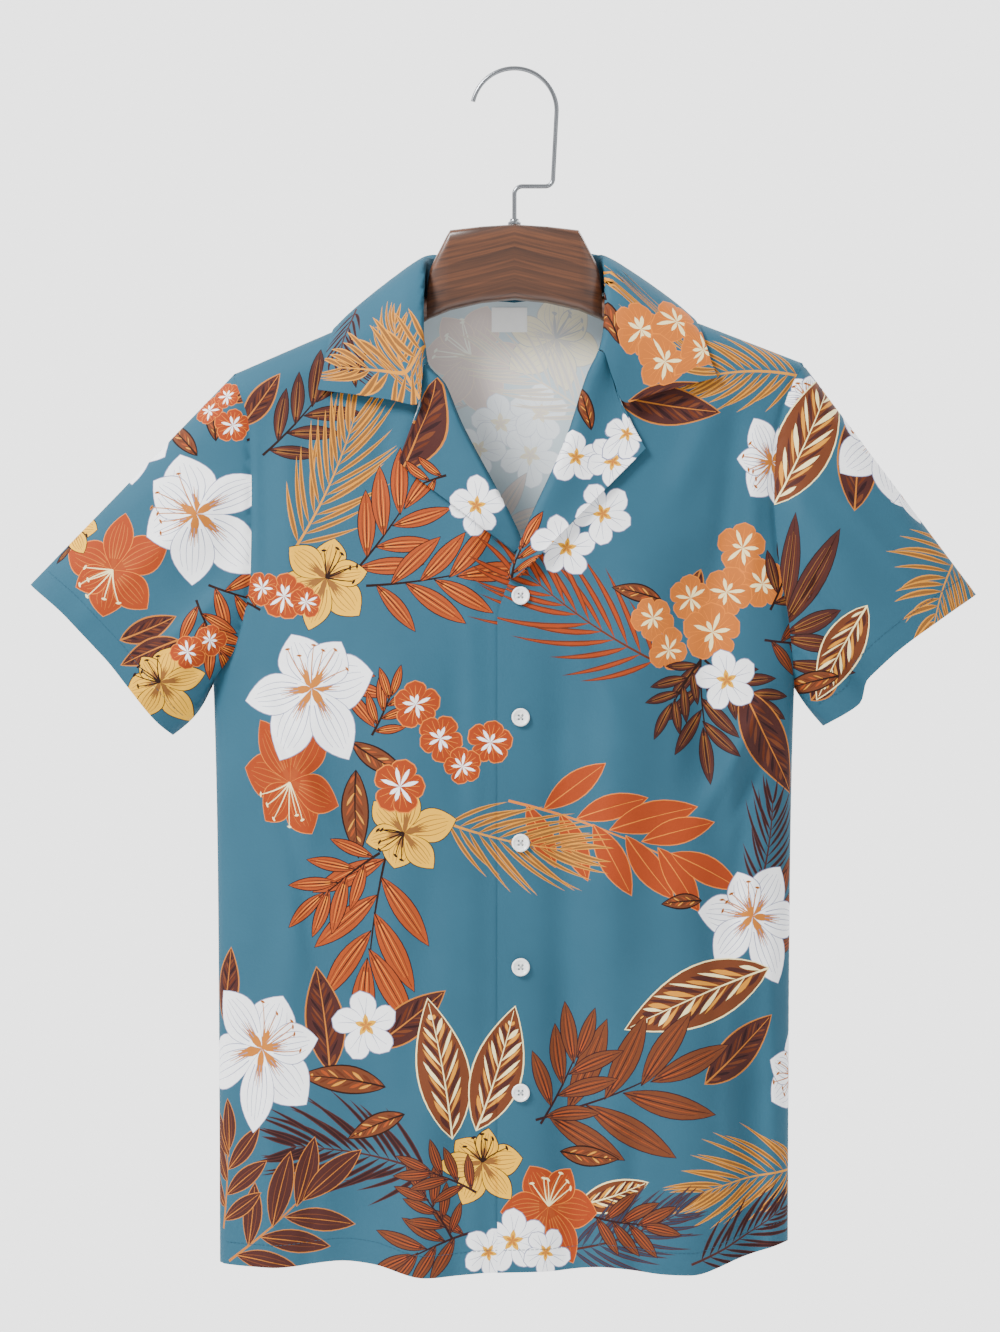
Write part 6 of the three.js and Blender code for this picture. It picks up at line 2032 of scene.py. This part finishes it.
# Seen: bright grey drawn wire, a little dull in places from handling
PLATED = Finish("hook_wire_plated", "85888C", 0.26, metallic=1.0, mottle=0.06, mottle_mm=14,
                bump=0.04, bump_mm=1.4)
# Seen: a bare white tape, matt, with a fine woven tooth
LABEL_TAPE = Finish("label_woven_tape", "F6F6F4", 0.8, mottle=0.02, mottle_mm=9, bump=0.2, bump_mm=0.8)
# Seen: short dark teal dashes that sink into the cloth, matt and slightly fuzzy
THREAD = Finish("sewing_thread_teal", "25495B", 0.7, mottle=0.08, mottle_mm=7, bump=0.3,
                bump_mm=0.5, specular=0.2)
# Seen: a crossed white thread in each button's four holes, matt; it is coloured grey as painted shade of the
# holes it lies in
BUTTON_THREAD_PAINTED_SHADE = Finish("button_thread_white", "A9AEB0", 0.7, mottle=0.05, mottle_mm=2, bump=0.3, bump_mm=0.4)
# Seen: a pale even studio floor, painted with a roller
FLOOR_PAINT = Finish("studio_floor_pale", "EDEDED", 0.9, mottle=0.015, mottle_mm=500)


def walnut_material(finish: Finish) -> bpy.types.Material:
    """Stained wood: long dark and light grain along the board, bowed a little, under lacquer.

    Args:
        finish: its plain colour and gloss.

    Returns:
        The material.
    """
    material = finish.make()
    tree = material.node_tree
    shader = tree.nodes["Principled BSDF"]
    place = add_node(tree, "ShaderNodeTexCoord", {}).outputs["Object"]
    parts = add_node(tree, "ShaderNodeSeparateXYZ", {"Vector": place})
    # Two boards cut from one, so the grain is mirrored at the middle and climbs towards it
    mirror = add_node(tree, "ShaderNodeMath", {0: parts.outputs["X"]}, operation="ABSOLUTE")
    climb = add_node(tree, "ShaderNodeMath", {0: mirror.outputs["Value"], 2: parts.outputs["Z"]},
                     operation="MULTIPLY_ADD", input_1=0.24)
    joined = add_node(tree, "ShaderNodeCombineXYZ", {
        "X": mirror.outputs["Value"], "Y": parts.outputs["Y"], "Z": climb.outputs["Value"]})
    stretch = add_node(tree, "ShaderNodeMapping", {"Vector": joined.outputs["Vector"]},
                       input_Scale=(4.0, 40.0, 110.0))
    grain = add_node(tree, "ShaderNodeTexNoise", {"Vector": stretch.outputs["Vector"]},
                     input_Scale=3.4, input_Detail=9.0, input_Distortion=0.5)
    ramp = add_node(tree, "ShaderNodeValToRGB", {"Fac": grain.outputs["Fac"]})
    stops = ramp.color_ramp.elements
    stops[0].position, stops[0].color = 0.3, srgb("2C180E")
    stops[1].position, stops[1].color = 0.72, srgb("63391F")
    middle = stops.new(0.5)
    middle.color = srgb("462817")
    tree.links.new(ramp.outputs["Color"], shader.inputs["Base Color"])
    shader.inputs["Coat Weight"].default_value = 0.25
    shader.inputs["Coat Roughness"].default_value = 0.2
    return material


def mesh_object(name: str, bm: bmesh.types.BMesh, material: bpy.types.Material,
                smooth_angle: float = 35.0) -> bpy.types.Object:
    """Turns a finished bmesh, in mm, into an object with one material.

    Args:
        name: the object's name.
        bm: the mesh, which is freed.
        material: its material.
        smooth_angle: the angle in degrees above which an edge stays sharp.

    Returns:
        The object.
    """
    bmesh.ops.recalc_face_normals(bm, faces=bm.faces)
    bmesh.ops.scale(bm, vec=(MM, MM, MM), verts=bm.verts)
    mesh = bpy.data.meshes.new(name)
    bm.to_mesh(mesh)
    bm.free()
    mesh.materials.append(material)
    mesh.polygons.foreach_set("use_smooth", np.ones(len(mesh.polygons), bool))
    mesh.set_sharp_from_angle(angle=math.radians(smooth_angle))
    thing = bpy.data.objects.new(name, mesh)
    bpy.context.scene.collection.objects.link(thing)
    return thing


def spun(profile: list[tuple[float, float]], steps: int, closed: bool = False) -> bmesh.types.BMesh:
    """Turns a profile round Z.

    Args:
        profile: its corners, by radius and height.
        steps: how many steps round.
        closed: whether its last corner joins its first.

    Returns:
        The turned mesh.
    """
    bm = bmesh.new()
    verts = [bm.verts.new((r, 0, z)) for r, z in profile]
    edges = [bm.edges.new(pair) for pair in zip(verts, verts[1:] + (verts[:1] if closed else []))]
    bmesh.ops.spin(bm, geom=verts + edges, cent=(0, 0, 0), axis=(0, 0, 1), angle=2 * math.pi,
                   steps=steps, use_merge=True)
    bmesh.ops.remove_doubles(bm, verts=bm.verts, dist=1e-4)
    return bm


@dataclass
class Hanger:
    """The wooden hanger with its cranked wire hook and small collar."""

    # Half of the board: x, top, foot, half thickness, squareness of its section
    head: tuple[tuple[float, ...], ...] = (
        (0, -118, -175, 13, 7), (25, -119.6, -177.5, 13, 7), (49, -122.4, -183, 13, 7),
        (51.5, -126.5, -184, 13, 7), (57.5, -138.3, -186.5, 12, 7), (62, -146.5, -188.5, 11, 6),
        (64.6, -153, -189.5, 10, 5), (66.2, -162, -190.5, 9, 4), (66.9, -172, -191, 8.5, 3))
    arm: tuple[tuple[float, ...], ...] = (
        (70, -193, 9.5, 2.3), (84, -200, 15, 2), (104, -210, 16.5, 2), (126, -221, 16.5, 2),
        (148, -232, 16, 2), (170, -243, 14.5, 2), (190, -252, 12.5, 2), (204, -256, 11, 2),
        (207.5, -252, 8, 2))
    around: int = 64
    # The wire, its bow, the cranks at its foot, and the foot of the ring
    wire: float = 3.5
    bow: float = 32.3
    bow_z: float = -30.55
    crank: float = 6.0
    ring_z: float = -117.7

    def rows(self) -> list[tuple[float, ...]]:
        """Sections of the wood from its centre to one end; the arm's top follows the shoulder's cloth.

        Returns:
            One row each: x, top, foot, half thickness, squareness.
        """
        half = list(self.head)
        for x, foot, thick, square in self.arm:
            clearance = 1.6 if x < 80 else 0.5
            low = min(float(ridge_z(np.array(s * x))) for s in (-1, 1))
            top = low - 1.4 * math.hypot(1, SHOULDER_FALL) - clearance - (5 if x > 207 else 0)
            half.append((x, top, foot, thick, square))
        return half

    def board(self) -> bpy.types.Object:
        """Lofts the wood from end to end.

        Returns:
            The wood.
        """
        half = self.rows()
        rows = [(-row[0], *row[1:]) for row in half[:0:-1]] + half
        bm = bmesh.new()
        bmesh.ops.create_grid(bm, x_segments=len(rows) - 1, y_segments=self.around, size=1)
        for vert in bm.verts:
            row = rows[round((vert.co.x + 1) / 2 * (len(rows) - 1))]
            turn = (vert.co.y + 1) * math.pi
            x, top, foot, thick, square = row
            up, forward = (math.copysign(abs(value) ** (2 / square), value)
                           for value in (math.cos(turn), math.sin(turn)))
            vert.co = (x, thick * forward, (top + foot) / 2 + up * (top - foot) / 2)
        bmesh.ops.remove_doubles(bm, verts=bm.verts, dist=0.01)
        bmesh.ops.holes_fill(bm, edges=[e for e in bm.edges if e.is_boundary], sides=0)
        return mesh_object("hanger_board", bm, walnut_material(WALNUT), 28)

    def wire_line(self) -> list[tuple[float, float]]:
        """Middle line of the wire from its tip to its foot.

        Returns:
            Its places, by x and z.
        """
        turns = np.radians(np.linspace(168, 0, 60))
        line = [(self.bow * math.cos(a), self.bow_z + self.bow * math.sin(a)) for a in turns]
        line += [(29.6 + 2.7 * (1 - t), self.bow_z - 51.95 * t) for t in np.linspace(0.1, 1, 10)]
        for cx, cz, first, last in ((23.6, -82.5, 0, -90), (6, -94.5, 90, 180)):
            turns = np.radians(np.linspace(first, last, 12))
            line += [(cx + self.crank * math.cos(a), cz + self.crank * math.sin(a)) for a in turns]
        return line + [(0, -100), (0, -117.4)]

    def hook(self) -> bpy.types.Object:
        """Draws the round wire along its middle line.

        Returns:
            The wire.
        """
        curve = bpy.data.curves.new("hook_wire", "CURVE")
        curve.dimensions = "3D"
        spline = curve.splines.new("POLY")
        line = self.wire_line()
        spline.points.add(len(line) - 1)
        for point, (x, z) in zip(spline.points, line):
            point.co = (x * MM, 0, z * MM, 1)
        curve.bevel_depth = self.wire / 2 * MM
        curve.bevel_resolution = 6
        curve.use_fill_caps = True
        maker = bpy.data.objects.new("hook_maker", curve)
        bpy.context.scene.collection.objects.link(maker)
        mesh = bpy.data.meshes.new_from_object(maker.evaluated_get(bpy.context.evaluated_depsgraph_get()))
        bpy.data.objects.remove(maker)
        bm = bmesh.new()
        bm.from_mesh(mesh)
        bpy.data.meshes.remove(mesh)
        bmesh.ops.scale(bm, vec=(METRE, METRE, METRE), verts=bm.verts)
        return mesh_object("hook_wire", bm, PLATED.make(), 50)

    def ring(self) -> bpy.types.Object:
        """Turns the small collar on top of the wood.

        Returns:
            The collar.
        """
        profile = [(2.15, 0), (4.7, 0), (5, 0.3), (5, 1.5), (4.7, 1.8), (3.7, 2.5), (3.4, 2.9),
                   (3.4, 4.1), (3.1, 4.4), (2.15, 4.4)]
        bm = spun(profile, 40, closed=True)
        bmesh.ops.translate(bm, vec=(0, 0, self.ring_z), verts=bm.verts)
        return mesh_object("hook_ring", bm, PLATED.make(), 40)

    def build(self) -> list[bpy.types.Object]:
        """Makes the pieces, hangs them on the body and hides the parts of the model that they replace.

        Returns:
            The wood, the wire and the collar.
        """
        made = ((self.board(), "hanger_wood", "hanger_timber"),
                (self.hook(), "hanger_hook", "hanger_metal"),
                (self.ring(), "hanger_collar", "hanger_metal"))
        for thing, node, slot in made:
            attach(thing, BODY)
            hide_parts(node)
        return [thing for thing, _, _ in made]


@dataclass
class Buttons:
    """Five pearly buttons down the left front, each sewn on through four holes."""

    heights: tuple[float, ...] = (-402, -494, -589, -683, -778)
    x: float = 4.6
    radius: float = 6.85
    # The four holes and the thread that crosses them, and how far the disc stands off the cloth
    hole_off: float = 1.35
    hole_radius: float = 0.8
    yarn_radius: float = 0.34
    yarn_length: float = 4.2
    yarn_height: float = 1.35
    stand: float = 0.25

    def one(self, index: int, height: float, pearl: bpy.types.Material,
            thread: bpy.types.Material) -> list[bpy.types.Object]:
        """Makes one button and its crossed thread, and seats them on the cloth.

        Args:
            index: its number, from the top.
            height: its height.
            pearl: the disc's material.
            thread: the thread's material.

        Returns:
            The disc and the thread.
        """
        r = self.radius
        profile = [(0, 0), (r - 1.5, 0), (r - 0.4, 0.35), (r, 0.95), (r - 0.1, 1.65), (r - 0.5, 2.2),
                   (r - 1.0, 2.35), (r - 1.5, 2.15), (r - 2.0, 1.6), (r - 2.6, 1.3), (0, 1.15)]
        button = mesh_object(f"button_{index}_disc", spun(profile, 48), pearl, 40)
        drill = bmesh.new()
        for up, right in ((-1, -1), (-1, 1), (1, -1), (1, 1)):
            bmesh.ops.create_cone(
                drill, cap_ends=True, segments=16, radius1=self.hole_radius, radius2=self.hole_radius,
                depth=8, matrix=Matrix.Translation((right * self.hole_off, up * self.hole_off, 1)))
        cutter = mesh_object("button_drill", drill, pearl)
        holes = button.modifiers.new("holes", "BOOLEAN")
        holes.object, holes.operation, holes.solver = cutter, "DIFFERENCE", "EXACT"
        cut = bpy.data.meshes.new_from_object(button.evaluated_get(bpy.context.evaluated_depsgraph_get()))
        button.modifiers.clear()
        button.data = cut
        bpy.data.objects.remove(cutter)
        sewn = bmesh.new()
        for turn in (45, 135):
            rod = Matrix.Rotation(math.radians(turn), 4, "Z")
            rod = rod @ Matrix.Translation((0, 0, self.yarn_height))
            rod = rod @ Matrix.Rotation(math.pi / 2, 4, "Y")
            bmesh.ops.create_cone(sewn, cap_ends=True, segments=8, radius1=self.yarn_radius,
                                  radius2=self.yarn_radius, depth=self.yarn_length, matrix=rod)
        stitches = mesh_object(f"button_{index}_thread", sewn, thread)
        around = np.array([[self.x, height], [self.x + 1, height], [self.x, height + 1]])
        here, east, north = body_point(Face.FRONT, around[:, 0], around[:, 1])
        normal = Vector(np.cross(east - here, north - here)).normalized()
        seat = Matrix.Translation(Vector(here) * MM + normal * self.stand * MM)
        place = seat @ normal.to_track_quat("Z", "Y").to_matrix().to_4x4()
        for thing in (button, stitches):
            thing.data.transform(place)
            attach(thing, BODY)
        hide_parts(f"button_{index}")
        return [button, stitches]

    def build(self) -> list[bpy.types.Object]:
        """Makes every button.

        Returns:
            The discs and their threads.
        """
        # The thread's grey is painted shade of the button's holes
        pearl, thread = PEARL.make(), BUTTON_THREAD_PAINTED_SHADE.make()
        return [thing for i, height in enumerate(self.heights)
                for thing in self.one(i + 1, height, pearl, thread)]


@dataclass
class Stitching:
    """A row of short thread stitches that lies on a sheet along a line of its flat plane."""

    sheet: Sheet
    line: np.ndarray
    name: str
    pitch: float = 3.4
    stitch: float = 2.3
    radius: float = 0.2

    def build(self, material: bpy.types.Material) -> bpy.types.Object:
        """Makes the row.

        Args:
            material: the thread's material.

        Returns:
            The row, as one object.
        """
        steps = np.linalg.norm(np.diff(self.line, axis=0), axis=1)
        way = np.concatenate([[0], np.cumsum(steps)])
        starts = np.arange(4, way[-1] - 4, self.pitch)
        ends = [np.stack([np.interp(at, way, self.line[:, i]) for i in (0, 1)], -1)
                for at in (starts, starts + self.stitch)]
        first, normal = self.sheet.lay(ends[0])
        last, _ = self.sheet.lay(ends[1])
        bm = bmesh.new()
        for a, b, n in zip(first, last, normal):
            run = Vector(b - a)
            middle = Vector((a + b) / 2 + n * 0.05)
            place = Matrix.Translation(middle) @ run.to_track_quat("Z", "Y").to_matrix().to_4x4()
            bmesh.ops.create_cone(bm, cap_ends=True, segments=6, radius1=self.radius,
                                  radius2=self.radius, depth=run.length, matrix=place)
        thread = mesh_object(self.name, bm, material)
        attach(thread, BODY)
        return thread


@dataclass
class Label:
    """The bare tape on the inside of the back, under the neck seam."""

    x: float = -3.8
    z: float = -188.75
    wide: float = 27.4
    tall: float = 18.5
    thick: float = 0.5
    inset: float = 1.5

    def build(self) -> bpy.types.Object:
        """Makes the tape along the inside of the back.

        Returns:
            The tape.
        """
        bm = bmesh.new()
        bmesh.ops.create_grid(bm, x_segments=8, y_segments=5, size=1)
        for vert in bm.verts:
            x = self.x + self.wide / 2 * vert.co.x
            z = self.z + self.tall / 2 * vert.co.y
            point = body_point(Face.BACK, np.array(x), np.array(z))
            vert.co = (point[0], point[1] - self.inset, point[2])
        bmesh.ops.solidify(bm, geom=bm.faces[:], thickness=self.thick)
        tape = mesh_object("label_tape", bm, LABEL_TAPE.make())
        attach(tape, BODY)
        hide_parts("neck_label")
        return tape


@dataclass
class Garment:
    """Every cut sheet of the shirt, printed, laid over the hanger and sewn."""

    materials: list[bpy.types.Material] = field(default_factory=cloth_finishes)
    # How each piece is held: hung from the hanger, or folded over on itself
    held: dict[str, str] = field(default_factory=lambda: {
        "front_right": "hung", "front_left": "hung", "back": "hung", "sleeve_right": "hung",
        "sleeve_left": "hung", "collar": "folded", "lapel_right": "folded", "lapel_left": "folded"})

    def sheets(self) -> dict[str, Sheet]:
        """Cuts every sheet.

        Returns:
            The cut sheets, by the node they stand for.
        """
        made = [front_sheet(R), front_sheet(L), back_sheet(), SleeveForm(R).sheet(), SleeveForm(L).sheet(),
                lapel_sheet(R), lapel_sheet(L), collar_sheet()]
        return {sheet.name: sheet for sheet in made}

    def patches(self, sheet: Sheet) -> list[Patch]:
        """Draws the printed areas of one sheet, by its charts.

        Args:
            sheet: the cut sheet.

        Returns:
            The areas in its flat plane, the first lying lowest.
        """
        placer = Placer(sheet)
        result: list[Patch] = []
        jobs = [(CHART, Face.BACK if sheet.name == "back" else Face.FRONT), (BACK_CHART, Face.BACK)]
        for chart, face in jobs:
            for kind, across, down, size, turn in chart.get(sheet.name, []):
                motif = print_of(kind, size * UNIT, turn, int(across * 7 + down))
                x, z = (across - CHART_X) * UNIT, (CHART_Z - down) * UNIT
                result += placer.place(motif, x, z, face)
        return result

    def build(self) -> list[bpy.types.Object]:
        """Makes the sheets, the label and the stitching.

        Returns:
            The pieces.
        """
        sheets = self.sheets()
        made = []
        for name, sheet in sheets.items():
            centred = name in ("collar", "lapel_right", "lapel_left")
            cloth = shell_from(sheet, self.patches(sheet), self.materials, centred)
            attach(cloth, BODY)
            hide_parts(name)
            made.append(cloth)
        return made + [Label().build()] + self.stitch(sheets)

    def stitch(self, sheets: dict[str, Sheet]) -> list[bpy.types.Object]:
        """Makes the hems' and cuffs' rows of stitches.

        Args:
            sheets: the cut sheets by name.

        Returns:
            The rows.
        """
        thread = THREAD.make()
        rows = []
        for name, face, low, high in (("front_right", F, -222, 18), ("front_left", F, -12, 206),
                                      ("back", B, -222, 206)):
            x = np.linspace(low, high, 120)
            line = flat_of(x, HEM[face](x))
            line[:, 1] += HEM_TURN
            rows.append(Stitching(sheets[name], line, f"{name}_hem_stitches"))
        for side in (R, L):
            form = SleeveForm(side)
            sheet = sheets[f"sleeve_{side.name.lower()}"]
            share = np.linspace(0.02, 1, 40)
            for face in (F, B):
                off = form.cuff(share) - form.tip
                line = np.stack([off @ form.along - HEM_TURN,
                                 face.value * np.maximum(off @ form.down, 0)], -1)
                rows.append(Stitching(sheet, line, f"{sheet.name}_{face.name.lower()}_cuff_stitches"))
        return [row.build(thread) for row in rows]


@dataclass
class Studio:
    """The camera, the soft light and the pale floor."""

    floor_radius: float = 2400.0
    floor_z: float = -1320.0
    aim: tuple[float, float, float] = (0, 0, -0.45)

    def camera(self) -> None:
        """Sets the camera straight on, so that it frames the shirt as in the photograph."""
        camera = bpy.data.cameras.new("camera")
        camera.sensor_fit = "VERTICAL"
        camera.sensor_height = SENSOR
        camera.lens = SENSOR * CAMERA_AWAY / VIEW_HIGH
        camera.clip_end = 50
        eye = bpy.data.objects.new("camera", camera)
        eye.location = (CAMERA_X * MM, (-CAMERA_AWAY - 25) * MM, CAMERA_Z * MM)
        eye.rotation_euler = (math.pi / 2, 0, 0)
        bpy.context.scene.collection.objects.link(eye)
        bpy.context.scene.camera = eye

    def room(self) -> None:
        """Makes the pale world's light stronger behind the shirt than in front of it."""
        world = bpy.data.worlds.new("studio")
        world.use_nodes = True
        tree = world.node_tree
        sky = tree.nodes["Background"]
        sky.inputs["Color"].default_value = srgb("F4F4F4")
        away = add_node(tree, "ShaderNodeTexCoord", {}).outputs["Generated"]
        way = add_node(tree, "ShaderNodeSeparateXYZ", {"Vector": away})
        level = add_node(tree, "ShaderNodeMapRange", {"Value": way.outputs["Y"]}, input_From_Min=-0.4,
                         input_From_Max=1.0, input_To_Min=0.9, input_To_Max=3.2)
        tree.links.new(level.outputs["Result"], sky.inputs["Strength"])
        bpy.context.scene.world = world

    def build(self) -> list[bpy.types.Object]:
        """Sets them up, camera first.

        Returns:
            The floor, the one of them that has faces.
        """
        self.camera()
        self.room()
        self.lamp("key", (-1.5, -1.4, 1.3), 0.8, 138)
        self.lamp("fill", (1.9, -2.2, 0.2), 1.8, 14)
        self.lamp("rim", (1.5, 1.4, 1.3), 1.0, 40)
        bm = bmesh.new()
        bmesh.ops.create_circle(bm, cap_ends=True, segments=96, radius=self.floor_radius)
        bmesh.ops.translate(bm, vec=(0, 0, self.floor_z), verts=bm.verts)
        floor = mesh_object("studio_floor", bm, FLOOR_PAINT.make())
        return [floor]

    def lamp(self, name: str, place: tuple[float, float, float], size: float, power: float) -> None:
        """Hangs a soft square lamp that faces the shirt.

        Args:
            name: its name.
            place: where it hangs, in metres.
            size: its width in metres.
            power: its power in watts.
        """
        light = bpy.data.lights.new(name, "AREA")
        light.energy = power
        light.size = size
        lamp = bpy.data.objects.new(name, light)
        lamp.location = place
        aim = Vector(self.aim) - Vector(place)
        lamp.rotation_euler = aim.to_track_quat("-Z", "Y").to_euler()
        bpy.context.scene.collection.objects.link(lamp)


def main() -> None:
    """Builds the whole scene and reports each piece."""
    logging.basicConfig(level=logging.INFO)
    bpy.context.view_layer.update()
    for part in (Studio, Hanger, Buttons, Garment):
        for piece in part().build():
            LOG.info("%s: %s, %d faces", part.__name__, piece.name, len(piece.data.polygons))


if __name__ == "__main__":
    main()
